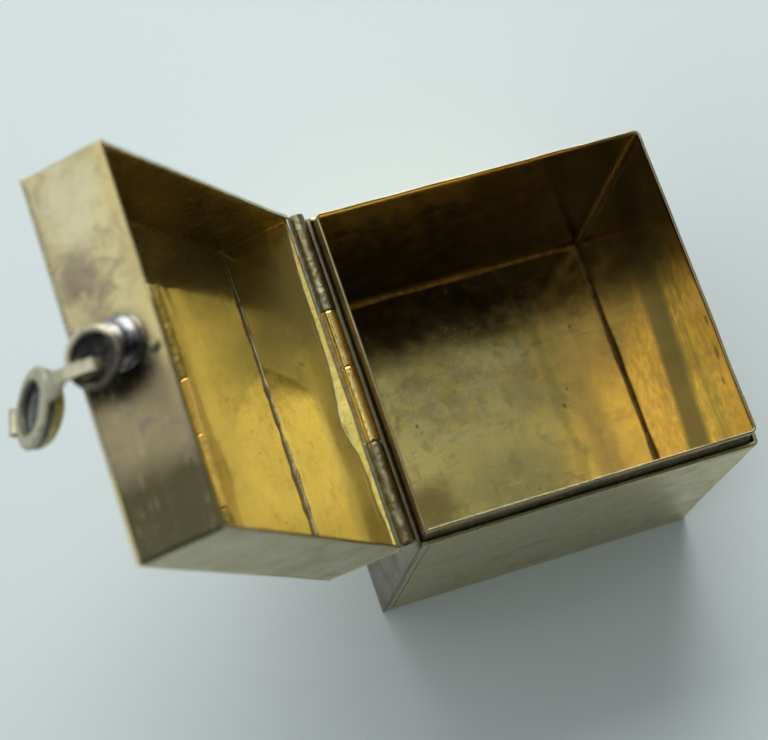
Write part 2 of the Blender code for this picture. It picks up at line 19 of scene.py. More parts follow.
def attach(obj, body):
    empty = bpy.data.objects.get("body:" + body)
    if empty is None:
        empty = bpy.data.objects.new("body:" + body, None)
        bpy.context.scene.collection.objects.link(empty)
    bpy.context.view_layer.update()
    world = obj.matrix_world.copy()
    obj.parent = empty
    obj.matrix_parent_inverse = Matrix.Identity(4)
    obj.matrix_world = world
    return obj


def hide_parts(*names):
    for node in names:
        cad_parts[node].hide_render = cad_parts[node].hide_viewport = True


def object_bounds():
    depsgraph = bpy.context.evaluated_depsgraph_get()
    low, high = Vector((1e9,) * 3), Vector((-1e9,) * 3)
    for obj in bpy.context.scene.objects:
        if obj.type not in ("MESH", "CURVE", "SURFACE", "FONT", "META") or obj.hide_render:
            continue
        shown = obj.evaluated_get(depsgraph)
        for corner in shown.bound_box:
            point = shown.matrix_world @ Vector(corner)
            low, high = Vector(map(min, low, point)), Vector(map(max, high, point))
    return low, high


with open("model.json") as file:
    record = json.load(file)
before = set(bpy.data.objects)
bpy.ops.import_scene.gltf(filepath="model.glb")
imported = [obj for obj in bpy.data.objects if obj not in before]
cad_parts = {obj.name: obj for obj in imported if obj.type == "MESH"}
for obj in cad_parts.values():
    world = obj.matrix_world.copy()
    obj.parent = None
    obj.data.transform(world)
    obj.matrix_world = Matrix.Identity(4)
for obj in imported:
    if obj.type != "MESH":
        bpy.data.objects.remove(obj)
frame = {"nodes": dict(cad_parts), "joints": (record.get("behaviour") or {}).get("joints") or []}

CAD_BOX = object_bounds()
NODES = frame["nodes"]
MM = 0.001

# ------------------------------------------------------------------ driving sizes (mm)
EDGE = 0.16              # softening of the sheet arrises
LID_TOP_EDGE = 0.2
LINING_EDGE = 0.14
WALL = 0.9               # thickness of the outer walls
LINING_WALL = 0.55
BOX_CORNER = 1.3         # outer radii of the bent corners
LID_CORNER = 1.2
LINING_CORNERS = (1.5, 0.9)    # front, back
STEP = 2.0               # usual mesh spacing
CORNER_STEPS = 8
EDGE_STEPS = 3
BORE = 1.12              # radius of the hole through the hinge tubes
TUBE_CHAMFER = 0.14
TUBE_STEP = 0.25
TUBE_SIDES = 72

# ------------------------------------------------------------------ lid hinge
lid_joint = next(j for j in frame["joints"] if j["name"] == "lid_hinge")
HINGE = Vector(lid_joint.get("pos_m") or (0.0, 0.0421, 0.065))
OPEN = math.radians(122.76)
TO_CLOSED = Matrix.Translation(HINGE) @ Matrix.Rotation(OPEN, 4, "X") @ Matrix.Translation(-HINGE)
TO_OPEN = TO_CLOSED.inverted()


def node_points(node, closed=False):
    """Vertices of a CAD node in mm; closed=True swings a lid node shut first."""
    points = np.array([v.co for v in NODES[node].data.vertices], float)
    if closed:
        swing = np.array(TO_CLOSED)
        points = points @ swing[:3, :3].T + swing[:3, 3]
    return points / MM


def node_box(node, closed=False):
    """Low and high corner of a CAD node in mm."""
    points = node_points(node, closed)
    return points.min(0), points.max(0)


def add_object(name, data):
    obj = bpy.data.objects.new(name, data)
    bpy.context.scene.collection.objects.link(obj)
    return obj


# ------------------------------------------------------------------ smooth, repeatable fields
def field(point, scale, seed):
    x, y, z = point
    return noise.noise(Vector((x * scale + seed * 17.3, y * scale - seed * 9.1,
                               z * scale + seed * 5.7)))


def step(start, end, value):
    """Smooth rise from 0 at start to 1 at end."""
    t = min(1.0, max(0.0, (value - start) / (end - start)))
    return t * t * (3 - 2 * t)


# ------------------------------------------------------------------ sheet sections
def section(low, high, thickness, rise, edge):
    """Closed outline (u inward, v height) of a sheet on edge, with softened arrises."""
    count = max(2, int(round((high - low) / rise)))
    bottom, top = low + edge, high - edge

    def arris(u, v, start, end):
        angles = [math.radians(start + (end - start) * k / EDGE_STEPS)
                  for k in range(EDGE_STEPS + 1)]
        return [(u + edge * math.cos(a), v + edge * math.sin(a)) for a in angles]

    outline = arris(edge, bottom, 270, 180)
    outline += [(0.0, bottom + (top - bottom) * k / count) for k in range(1, count)]
    outline += arris(edge, top, 180, 90)
    outline += arris(thickness - edge, top, 90, 0)
    outline += [(thickness, top - (top - bottom) * k / count) for k in range(1, count)]
    outline += arris(thickness - edge, bottom, 0, -90)
    return outline


def shrunk(outline, inset, thickness, low, high):
    """The outline held at least `inset` inside the sheet's bounds."""
    if inset <= 0:
        return outline
    return [(min(max(u, inset), thickness - inset), min(max(v, low + inset), high - inset))
            for u, v in outline]


def softened(xs, edge):
    """(position, inset) along a sheet, with extra rows that soften both ends."""
    first, last = xs[0], xs[-1]
    return ([(first, edge), (first + edge * 0.3, edge * 0.3), (first + edge, 0.0)]
            + [(x, 0.0) for x in xs[1:-1]]
            + [(last - edge, 0.0), (last - edge * 0.3, edge * 0.3), (last, edge)])


def skin(name, rows, loop, warp=None, back=None, smooth=38):
    """Mesh through rows of points (mm). loop=True joins last row to first, else ends are capped.

    warp reshapes each point, back is a final matrix, smooth the sharp-edge angle in degrees."""
    bm = bmesh.new()
    rings = [[bm.verts.new(Vector(warp(p) if warp else p) * MM) for p in row] for row in rows]
    count = len(rings[0])
    for i in range(len(rings) if loop else len(rings) - 1):
        a, b = rings[i], rings[(i + 1) % len(rings)]
        for k in range(count):
            m = (k + 1) % count
            bm.faces.new((a[k], a[m], b[m], b[k]))
    if not loop:
        # strips between facing points; a sheet outline always has an even count
        for ring in (rings[0], rings[-1]):
            for k in range(count // 2 - 1):
                bm.faces.new((ring[k], ring[k + 1], ring[-2 - k], ring[-1 - k]))
    bmesh.ops.recalc_face_normals(bm, faces=bm.faces)
    if back is not None:
        bmesh.ops.transform(bm, matrix=back, verts=bm.verts)
    mesh = bpy.data.meshes.new(name)
    bm.to_mesh(mesh)
    bm.free()
    mesh.shade_smooth()
    mesh.set_sharp_from_angle(angle=math.radians(smooth))
    return add_object(name, mesh)


def plate(name, box, axis, rise=STEP, along=STEP, edge=EDGE, **shaping):
    """Flat sheet filling a box. axis is its thin direction: 'y' stands on edge, 'z' lies flat."""
    lo, hi = box
    if axis == "y":
        thickness, low, high = hi[1] - lo[1], lo[2], hi[2]
    else:
        thickness, low, high = hi[2] - lo[2], lo[1], hi[1]
    outline = section(low, high, thickness, rise, edge)
    xs = list(np.linspace(lo[0], hi[0], max(3, int((hi[0] - lo[0]) / along) + 1)))
    rows = []
    for x, inset in softened(xs, edge):
        points = shrunk(outline, inset, thickness, low, high)
        rows.append([(x, hi[1] - u, v) if axis == "y" else (x, v, hi[2] - u) for u, v in points])
    return skin(name, rows, False, **shaping)


def bent(name, path, loop, box, thickness, edge=EDGE, **shaping):
    """Sheet on edge along a path of ((x, y), (inward x, inward y)), as high as the box."""
    low, high = box[0][2], box[1][2]
    outline = section(low, high, thickness, STEP, edge)
    rows = []
    for i, ((x, y), (nx, ny)) in enumerate(path):
        inset = edge if not loop and i in (0, len(path) - 1) else 0.0
        rows.append([(x + nx * u, y + ny * u, v)
                     for u, v in shrunk(outline, inset, thickness, low, high)])
    return skin(name, rows, loop, **shaping)


# ------------------------------------------------------------------ plan paths
def straight(a, b, inward):
    """Points strictly between a and b."""
    count = max(1, int(math.dist(a, b) / STEP))
    return [((a[0] + (b[0] - a[0]) * (i / count), a[1] + (b[1] - a[1]) * (i / count)), inward)
            for i in range(1, count)]


def turn(cx, cy, radius, start, end):
    """Rounded corner about (cx, cy), angles in degrees."""
    path = []
    for i in range(CORNER_STEPS + 1):
        a = math.radians(start + (end - start) * i / CORNER_STEPS)
        path.append(((cx + radius * math.cos(a), cy + radius * math.sin(a)),
                     (-math.cos(a), -math.sin(a))))
    return path


def u_path(box, r):
    """Near side, front and far side, open at the back."""
    (x0, y0, _), (x1, y1, _) = box
    soft = y1 - EDGE
    path = [((x0, y1), (1, 0)), ((x0, soft), (1, 0))]
    path += straight((x0, soft), (x0, y0 + r), (1, 0))
    path += turn(x0 + r, y0 + r, r, 180, 270)
    path += straight((x0 + r, y0), (x1 - r, y0), (0, 1))
    path += turn(x1 - r, y0 + r, r, 270, 360)
    path += straight((x1, y0 + r), (x1, soft), (-1, 0))
    path += [((x1, soft), (-1, 0)), ((x1, y1), (-1, 0))]
    return path


def o_path(box, front_r, back_r):
    """All the way round."""
    (x0, y0, _), (x1, y1, _) = box
    path = turn(x0 + front_r, y0 + front_r, front_r, 180, 270)
    path += straight((x0 + front_r, y0), (x1 - front_r, y0), (0, 1))
    path += turn(x1 - front_r, y0 + front_r, front_r, 270, 360)
    path += straight((x1, y0 + front_r), (x1, y1 - back_r), (-1, 0))
    path += turn(x1 - back_r, y1 - back_r, back_r, 0, 90)
    path += straight((x1 - back_r, y1), (x0 + back_r, y1), (0, -1))
    path += turn(x0 + back_r, y1 - back_r, back_r, 90, 180)
    path += straight((x0, y1 - back_r), (x0, y0 + front_r), (1, 0))
    return path


# ------------------------------------------------------------------ hand-worked unevenness
BOX_BOW = 0.30           # how far walls draw in at most
LID_BOW = (0.28, 0.30)   # along x, along y
TOP_SAG = 0.32           # hollow across the lid top
RIM_THINNING = 0.22      # slope of the filed rim of the lid's back plate


def inward(at, start, end):
    """Direction towards the middle, fading in from start to end."""
    return -np.sign(at) * step(start, end, abs(at))


def uneven(point, scale, seed):
    return 0.45 + 0.55 * field(point, scale, seed)


def box_warp(p):
    """Walls draw in with small irregular hollows; the hinge and foot stay true."""
    x, y, z = p
    free = 1 - step(30, 40, y) * step(45, 62, z)
    foot = step(0, 8, z)
    bow = BOX_BOW * free
    wx = inward(x, 30, 39) * bow * uneven(p, 0.045, 1) * foot
    wy = inward(y, 31, 40) * bow * uneven(p, 0.05, 2) * foot
    wz = 0.0
    if z < 2:
        wz = 0.12 * max(0.0, field(p, 0.05, 3)) * step(39, 30, max(abs(x), abs(y)))
    rim = step(62, 65, z)
    wz -= rim * free * (0.08 + 0.10 * field(p, 0.16, 4) + 0.03 * field(p, 0.9, 5))
    return (x + wx, y + wy, z + wz)


def lining_warp(p):
    """Follows the box, with a wandering rim."""
    x, y, z = box_warp(p)
    rim = step(66, 70.3, p[2])
    z -= rim * (0.10 + 0.12 * field(p, 0.14, 7) + 0.04 * field(p, 1.1, 8))
    x += rim * 0.10 * field(p, 0.08, 9)
    y += rim * 0.10 * field(p, 0.08, 10) * step(40, 34, p[1])
    return (x, y, z)


def lid_warp(p):
    """Walls draw in, the top sags along x, the rim wanders; the hinge side stays true."""
    x, y, z = p
    free = 1 - step(30, 40, y) * step(72, 66, z)
    wx = inward(x, 30, 39) * LID_BOW[0] * free * uneven(p, 0.05, 11)
    wy = inward(y, 31, 40) * LID_BOW[1] * free * uneven(p, 0.05, 12)
    wz = 0.0
    if z > 80:
        calm = step(40, 26, abs(x))
        ripple = 0.10 * field(p, 0.035, 13) * step(40, 30, max(abs(x), abs(y)))
        wz = -TOP_SAG * math.exp(-((y + 14) / 16) ** 2) * calm - ripple
    rim = step(68, 65.25, z)
    wz += rim * free * (0.10 + 0.10 * field(p, 0.15, 14) + 0.04 * field(p, 0.8, 15))
    return (x + wx, y + wy, z + wz)


LID_TOP = node_box("lid_top_plate", True)
LID_BACK = node_box("lid_back_plate", True)
LID_WRAP = node_box("lid_wrap", True)
BACK_RIM = LID_BACK[0][2]


def lid_back_warp(p):
    """The back plate thins towards its rim in a hand-filed hollow of wandering width."""
    x, y, z = lid_warp(p)
    q = (p[0], 0, 0)
    width = 1.25 + 1.6 * math.exp(-((p[0] + 8) / 9) ** 2)
    width = width + 0.35 * field(q, 0.11, 21) + 0.18 * field(q, 0.45, 22)
    width = max(0.7, width - 0.45 * step(24, 38, p[0]) - 0.3 * step(-26, -38, p[0]))
    above_rim = p[2] - BACK_RIM
    inner = step(39.75, 39.12, p[1])
    lean = inner * 0.020 * max(0.0, above_rim - 2.0)
    y -= lean * step(-39, -33, p[0]) * step(40, 36, p[0])
    if above_rim < width:
        y += inner * RIM_THINNING * (width - above_rim)
    return (x, y, z)


# ------------------------------------------------------------------ sheets
stand_ins = {}


def stand_in(obj, node, body):
    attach(obj, body)
    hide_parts(node)
    stand_ins[node] = obj


def box_sheets():
    stand_in(plate("box_floor_sheet", node_box("box_floor"), "z", warp=box_warp),
             "box_floor", "box")
    box = node_box("box_wrap")
    stand_in(bent("box_wrap_sheet", u_path(box, BOX_CORNER), False, box, WALL, warp=box_warp),
             "box_wrap", "box")
    stand_in(plate("box_back_sheet", node_box("box_back_plate"), "y", warp=box_warp),
             "box_back_plate", "box")
    box = node_box("inner_lining")
    stand_in(bent("inner_lining_sheet", o_path(box, *LINING_CORNERS), True, box, LINING_WALL,
                  edge=LINING_EDGE, warp=lining_warp),
             "inner_lining", "box")


def lid_sheets():
    stand_in(plate("lid_top_sheet", LID_TOP, "z", edge=LID_TOP_EDGE, warp=lid_warp, back=TO_OPEN),
             "lid_top_plate", "lid")
    stand_in(plate("lid_back_sheet", LID_BACK, "y", rise=0.3, along=0.5,
                   warp=lid_back_warp, back=TO_OPEN),
             "lid_back_plate", "lid")
    stand_in(bent("lid_wrap_sheet", u_path(LID_WRAP, LID_CORNER), False, LID_WRAP, WALL,
                  warp=lid_warp, back=TO_OPEN),
             "lid_wrap", "lid")


def seat_warp(p):
    """Plan shift of the box wall at z 62 or below; heights stay."""
    x, y, _ = box_warp((p[0], p[1], min(p[2], 62.0)))
    return (x, y, p[2])


def seat_solder():
    """Bead that fills the groove between the outer walls and the lining."""
    rows = []
    for (x, y), (nx, ny) in o_path(node_box("inner_lining"), *LINING_CORNERS):
        near = step(-36.6, -37.2, x)    # the groove is wider on the near side
        gap = 0.40 + 0.45 * near
        q = (x, y, 0)
        lump = (0.30 * field(q, 0.25, 71) + 0.18 * field(q, 1.1, 72)) * 0.7
        # (distance out from the lining, height)
        outline = [
            (0.05, 63.2),
            (gap - 0.10, 63.2),
            (gap - 0.08, 64.5 + lump * 0.3),
            (gap * 0.72, 64.9 + lump * 0.3),
            (gap * 0.46, 65.25 + lump * 0.8),
            (0.09 + 0.06 * near, 66.0 + lump + 0.4 * near),
            (0.05, 66.1 + lump + 0.4 * near),
        ]
        finer = []
        for (u0, v0), (u1, v1) in zip(outline, outline[1:] + outline[:1]):
            finer += [(u0, v0), ((u0 + u1) / 2, (v0 + v1) / 2)]
        rows.append([(x - nx * u, y - ny * u, v) for u, v in finer])
    obj = skin("lining_seat_solder", rows, True, seat_warp)
    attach(obj, "box")
    return obj


# ------------------------------------------------------------------ hinge tubes
def tube(node, on_lid, lump, seed):
    """Lumpy bored tube along x with chamfered ends."""
    lo, hi = node_box(node, on_lid)
    radius = (hi[1] - lo[1]) / 2
    cy, cz = (hi[1] + lo[1]) / 2, (hi[2] + lo[2]) / 2
    angles = [2 * math.pi * k / TUBE_SIDES for k in range(TUBE_SIDES)]
    inner_xs = list(np.linspace(lo[0], hi[0], int((hi[0] - lo[0]) / TUBE_STEP)))[1:-1]
    inset = TUBE_CHAMFER * 0.3
    rows = []
    for x in [lo[0], lo[0] + inset] + inner_xs + [hi[0] - inset, hi[0]]:
        from_end = min(x - lo[0], hi[0] - x)
        cut = TUBE_CHAMFER * (1 - min(1.0, from_end / TUBE_CHAMFER)) ** 2
        row = []
        for a in angles:
            q = (x, 3 * math.cos(a), 3 * math.sin(a))
            bump = lump * (0.55 * field(q, 0.35, seed) + 0.35 * field(q, 0.9, seed + 1)
                           + 0.2 * field(q, 2.2, seed + 2))
            r = radius - lump * 0.5 + bump - cut
            row.append((x, cy + r * math.cos(a), cz + r * math.sin(a)))
        rows.append(row)
    for x in (hi[0], lo[0]):
        rows.append([(x, cy + BORE * math.cos(a), cz + BORE * math.sin(a)) for a in angles])
    return skin(node + "_tube", rows, True, back=TO_OPEN if on_lid else None, smooth=45)


# node, body, slot, lump height (mm), field seed
TUBES = (
    ("hinge_knuckle_near", "box", "bronze", 0.16, 31),
    ("hinge_knuckle_far", "box", "bronze", 0.16, 41),
    ("lid_knuckle_long", "lid", "gilt", 0.05, 51),
    ("lid_knuckle_short", "lid", "gilt", 0.05, 61),
)

box_sheets()
lid_sheets()
seat = seat_solder()
for node, body, slot, lump, seed in TUBES:
    stand_in(tube(node, body == "lid", lump, seed), node, body)


# ------------------------------------------------------------------ node graphs
class Graph:
    """Short calls that add shader nodes to a tree."""

    def __init__(self, tree):
        self.tree = tree

    def put(self, socket, value):
        if isinstance(value, bpy.types.NodeSocket):
            self.tree.links.new(value, socket)
        elif socket.type == "RGBA":
            socket.default_value = (*value, 1)
        else:
            socket.default_value = value

    def node(self, kind, inputs=None, **settings):
        made = self.tree.nodes.new("ShaderNode" + kind)
        for key, value in settings.items():
            setattr(made, key, value)
        for key, value in (inputs or {}).items():
            self.put(made.inputs[key], value)
        return made

    def math(self, operation, a, b=0.0):
        return self.node("Math", {0: a, 1: b}, operation=operation).outputs[0]

    def add(self, a, b):
        return self.math("ADD", a, b)

    def sub(self, a, b):
        return self.math("SUBTRACT", a, b)

    def mul(self, product, *factors):
        for factor in factors:
            product = self.math("MULTIPLY", product, factor)
        return product

    def vector(self, operation, a, b=None):
        inputs = {0: a} if b is None else {0: a, 1: b}
        result = "Value" if operation in ("LENGTH", "DOT_PRODUCT") else "Vector"
        return self.node("VectorMath", inputs, operation=operation).outputs[result]

    def ramp(self, value, start, end, low=0.0, high=1.0):
        """Smooth change from `low` where value is at start to `high` at end."""
        inputs = {"Value": value, "From Min": start, "From Max": end,
                  "To Min": low, "To Max": high}
        return self.node("MapRange", inputs, interpolation_type="SMOOTHSTEP").outputs["Result"]

    def near(self, offset, outer, inner):
        """0 where the offset's size passes outer, 1 where it is under inner."""
        return self.ramp(self.math("ABSOLUTE", offset), outer, inner)

    def sway(self, noise, size):
        """Noise centred on zero and scaled."""
        return self.mul(self.sub(noise, 0.5), size)

    def mix(self, factor, a, b):
        return self.node("Mix", {"Factor": factor, 6: a, 7: b}, data_type="RGBA").outputs[2]


class Metal(Graph):
    """Surface built up in layers on colour, rough and normal. Lengths are millimetres.

    on_lid=True gives coordinates as if the lid were shut."""

    def __init__(self, tree, on_lid=False):
        super().__init__(tree)
        self.on_lid = on_lid
        self.metallic = 1.0
        self.normal = None
        placing = {"Scale": (1000, 1000, 1000),
                   "Vector": self.node("TexCoord").outputs["Object"]}
        if on_lid:
            hinge = HINGE * 1000
            placing["Rotation"] = (OPEN, 0, 0)
            placing["Location"] = hinge - Matrix.Rotation(OPEN, 3, "X") @ hinge
        self.point = self.node("Mapping", placing).outputs["Vector"]

    @cached_property
    def xyz(self):
        return self.node("SeparateXYZ", {0: self.point}).outputs

    def placed(self, stretch=(1, 1, 1), turn=(0, 0, 0), shift=(0, 0, 0)):
        inputs = {"Scale": stretch, "Rotation": turn, "Location": shift, "Vector": self.point}
        return self.node("Mapping", inputs).outputs[0]

    def noise(self, scale, detail=3, rough=0.55, warp=0.0, **placing):
        inputs = {"Scale": scale, "Detail": detail, "Roughness": rough, "Distortion": warp,
                  "Vector": self.placed(**placing) if placing else self.point}
        return self.node("TexNoise", inputs).outputs["Fac"]

    def edge(self):
        """Mask of the outer arrises."""
        return self.ramp(self.node("NewGeometry").outputs["Pointiness"], 0.52, 0.60)

    def patch(self, centre, radii, soft=0.6, wander=1.3, scale=0.12):
        """Mask of an ellipsoid, 1 inside, with a soft edge that wanders at a noise scale."""
        local = self.placed(shift=tuple(-c / r for c, r in zip(centre, radii)),
                            stretch=tuple(1 / r for r in radii))
        ragged = self.sway(self.noise(scale, detail=4, rough=0.6), wander)
        return self.ramp(self.add(self.vector("LENGTH", local), ragged), 1.0 + soft, 1.0 - soft)

    def tint(self, mask, colour, amount=None):
        """Lays a colour over what is there."""
        factor = mask if amount is None else self.mul(mask, amount)
        self.colour = self.mix(factor, self.colour, colour)

    def roughen(self, mask, amount=None):
        self.rough = self.add(self.rough, mask if amount is None else self.mul(mask, amount))

    def bump(self, height, strength, depth):
        """Relief on top of the earlier relief, depth in mm."""
        inputs = {"Strength": strength, "Distance": depth * MM, "Height": height}
        if self.normal is not None:
            inputs["Normal"] = self.normal
        self.normal = self.node("Bump", inputs).outputs[0]

    def scratches(self, scale, stretch, turn, width, seed, warp):
        """Fine, long, broken lines: a thin level set of stretched noise."""
        lines = self.noise(scale, detail=2, rough=0.5, warp=warp, stretch=stretch, turn=turn,
                           shift=(seed * 13.1, seed * 7.7, seed * 3.3))
        breaks = self.noise(scale * 0.8, detail=2, rough=0.5, shift=(seed * 5, 3, 9))
        return self.mul(self.near(self.sub(lines, 0.5), width * 0.5, 0.0),
                        self.ramp(breaks, 0.45, 0.62))

    def shade(self):
        inputs = {"Base Color": self.colour, "Roughness": self.rough,
                  "Metallic": self.metallic, "Normal": self.normal}
        return self.node("BsdfPrincipled", inputs).outputs[0]


def new_tree(owner):
    owner.use_nodes = True
    owner.node_tree.nodes.clear()
    return owner.node_tree


def material(name, finish, on_lid=False, **options):
    mat = bpy.data.materials.new(name)
    g = Metal(new_tree(mat), on_lid)
    g.node("OutputMaterial", {"Surface": finish(g, **options)})
    return mat


def paint(mat, *nodes):
    """Gives a material to CAD nodes and their stand-ins."""
    for node in nodes:
        for obj in (NODES[node], stand_ins.get(node)):
            if obj is not None:
                obj.data.materials.clear()
                obj.data.materials.append(mat)


# ------------------------------------------------------------------ finishes
def gilt(g, gold=(0.90, 0.70, 0.24), olive=(0.55, 0.47, 0.15), rough=0.13, haze=0.0,
         olive_amount=0.5, brown_amount=0.25, vary=1.0, calm=1.0, edge_amount=0.55,
         brush=(0.5, 0.5, 0.5), marks=None):
    """Gold leaf. vary scales the roughness changes, calm the relief, brush the grain."""
    broad = g.noise(0.05, detail=5, rough=0.6, warp=0.4)
    mid = g.noise(0.22, detail=5, rough=0.65, warp=0.3, shift=(5, 9, 2))
    fine = g.noise(2.2, detail=4, rough=0.6)
    speck = g.noise(6.5, detail=2, rough=0.6, shift=(7, 3, 1))
    g.colour, g.rough = gold, rough
    g.tint(g.ramp(broad, 0.45, 0.68, high=olive_amount), olive)
    g.tint(g.ramp(mid, 0.52, 0.75, high=brown_amount), (0.30, 0.17, 0.06))
    g.tint(g.ramp(fine, 0.35, 0.75, high=0.22), tuple(v * 0.62 for v in gold))
    g.tint(g.ramp(speck, 0.56, 0.72, high=0.30), tuple(v * 0.55 for v in gold))
    g.roughen(g.ramp(mid, 0.35, 0.7, low=-0.03 * vary, high=0.08 * vary))
    g.roughen(g.ramp(fine, 0.4, 0.8, high=0.05 * vary))
    if haze:
        cloud = g.noise(0.085, detail=6, rough=0.68, warp=0.8, shift=(31, 4, 7))
        veil = g.ramp(cloud, 0.42, 0.62, high=haze)
        g.tint(veil, (0.64, 0.56, 0.25))
        g.roughen(veil, 0.13)
    # larger and smaller dark spots
    spots = g.noise(0.42, detail=2, rough=0.5, warp=0.3, shift=(3.1, 8.2, 1.7))
    g.tint(g.ramp(spots, 0.735, 0.775), (0.08, 0.05, 0.03), amount=0.8)
    spots = g.noise(1.5, detail=2, rough=0.5, warp=0.3, shift=(1.1, 4.2, 6.7))
    g.tint(g.ramp(spots, 0.72, 0.77, high=0.6), (0.10, 0.06, 0.03))
    if marks:
        marks(g)
    g.tint(g.edge(), (0.86, 0.76, 0.46), amount=edge_amount)
    along_y = g.scratches(0.35, stretch=(1, 0.12, 1), turn=(0.1, 0.2, 0.5), width=0.03,
                          seed=1, warp=0.6)
    along_x = g.scratches(0.5, stretch=(0.1, 1, 1), turn=(0.3, 0.1, -0.4), width=0.025,
                          seed=2, warp=0.8)
    g.tint(g.math("MAXIMUM", along_y, along_x), (0.35, 0.25, 0.12), amount=0.12 + 0.23 * calm)
    waves = g.noise(0.075, rough=0.5, warp=0.2, shift=(11, 3, 8))
    g.bump(waves, strength=1.0, depth=0.11 * calm)
    brushed = g.noise(0.8, rough=0.6, warp=0.1, stretch=brush)
    g.bump(brushed, strength=0.12, depth=0.05 * calm)
    g.bump(fine, strength=0.12, depth=0.04 * calm)
    g.bump(g.math("MAXIMUM", along_y, along_x), strength=0.25, depth=-0.03 * calm)
    return g.shade()


def silver(g, base=(0.53, 0.50, 0.265), warm=(0.56, 0.49, 0.245), dark=(0.23, 0.20, 0.11),
           light=(0.70, 0.65, 0.41), rough=0.30, marks=None):
    """Tarnished silver, brushed level."""
    broad = g.noise(0.045, detail=5, rough=0.62, warp=0.5)
    mid = g.noise(0.13, detail=6, rough=0.66, warp=0.2, shift=(2, 5, 1))
    fine = g.noise(1.6, detail=5, rough=0.65)
    g.colour, g.rough = base, rough
    g.tint(g.ramp(broad, 0.40, 0.62), warm)
    g.tint(g.ramp(mid, 0.48, 0.76, high=0.5), dark)
    g.tint(g.ramp(mid, 0.44, 0.28, high=0.45), light)
    g.tint(g.ramp(fine, 0.5, 0.78, high=0.35), dark)
    g.roughen(g.ramp(mid, 0.35, 0.7, low=-0.05, high=0.12))
    pits = g.node("TexVoronoi", {"Scale": 0.35, "Vector": g.placed(shift=(1.7, 6.1, 2.9))})
    g.tint(g.ramp(pits.outputs["Distance"], 0.10, 0.03, high=0.7), (0.07, 0.06, 0.05))
    if marks:
        marks(g)
    level = g.scratches(0.4, stretch=(0.1, 0.1, 1.3), turn=(0, 0.02, 0), width=0.05,
                        seed=3, warp=0.2)
    slanted = g.scratches(0.5, stretch=(1, 0.15, 0.8), turn=(0.2, 0.4, 0.7), width=0.03,
                          seed=4, warp=0.5)
    g.tint(level, light, amount=0.25)
    g.tint(slanted, dark, amount=0.4)
    brushed = g.noise(1.4, detail=4, rough=0.65, warp=0.1, stretch=(0.05, 0.05, 1))
    g.roughen(g.ramp(brushed, 0.3, 0.7, low=-0.03, high=0.05))
    g.tint(g.edge(), light, amount=0.6)
    waves = g.noise(0.08, rough=0.5, warp=0.2, shift=(4, 1, 8))
    g.bump(waves, strength=1.0, depth=0.2)
    g.bump(brushed, strength=0.2, depth=0.05)
    g.bump(fine, strength=0.15, depth=0.04)
    g.bump(slanted, strength=0.3, depth=-0.04)
    return g.shade()


def plain(g, colours, rough, dark=(0.06, 0.05, 0.04), scale=0.6, lump=0.2, metallic=1.0,
          marks=None):
    """Two mottled colours with dark specks; lump is the relief in mm."""
    broad = g.noise(scale, detail=6, rough=0.65, warp=0.4)
    fine = g.noise(scale * 4, detail=5, rough=0.6, warp=0.2, shift=(7, 2, 5))
    g.colour, g.rough, g.metallic = colours[0], rough, metallic
    g.tint(g.ramp(broad, 0.38, 0.64), colours[1])
    g.tint(g.ramp(fine, 0.52, 0.72, high=0.7), dark)
    g.roughen(g.ramp(fine, 0.3, 0.7, low=-0.06, high=0.12))
    if marks:
        marks(g)
    g.bump(broad, strength=0.6, depth=lump)
    g.bump(fine, strength=0.35, depth=0.08)
    return g.shade()


def two_sided(g, inside, gilt_options, silver_options):
    """Gilt where the inside mask is 1, tarnished silver elsewhere."""
    gold = gilt(g, **gilt_options)
    outer = silver(Metal(g.tree, g.on_lid), **silver_options)
    return g.node("MixShader", {0: inside(g), 1: outer, 2: gold}).outputs[0]


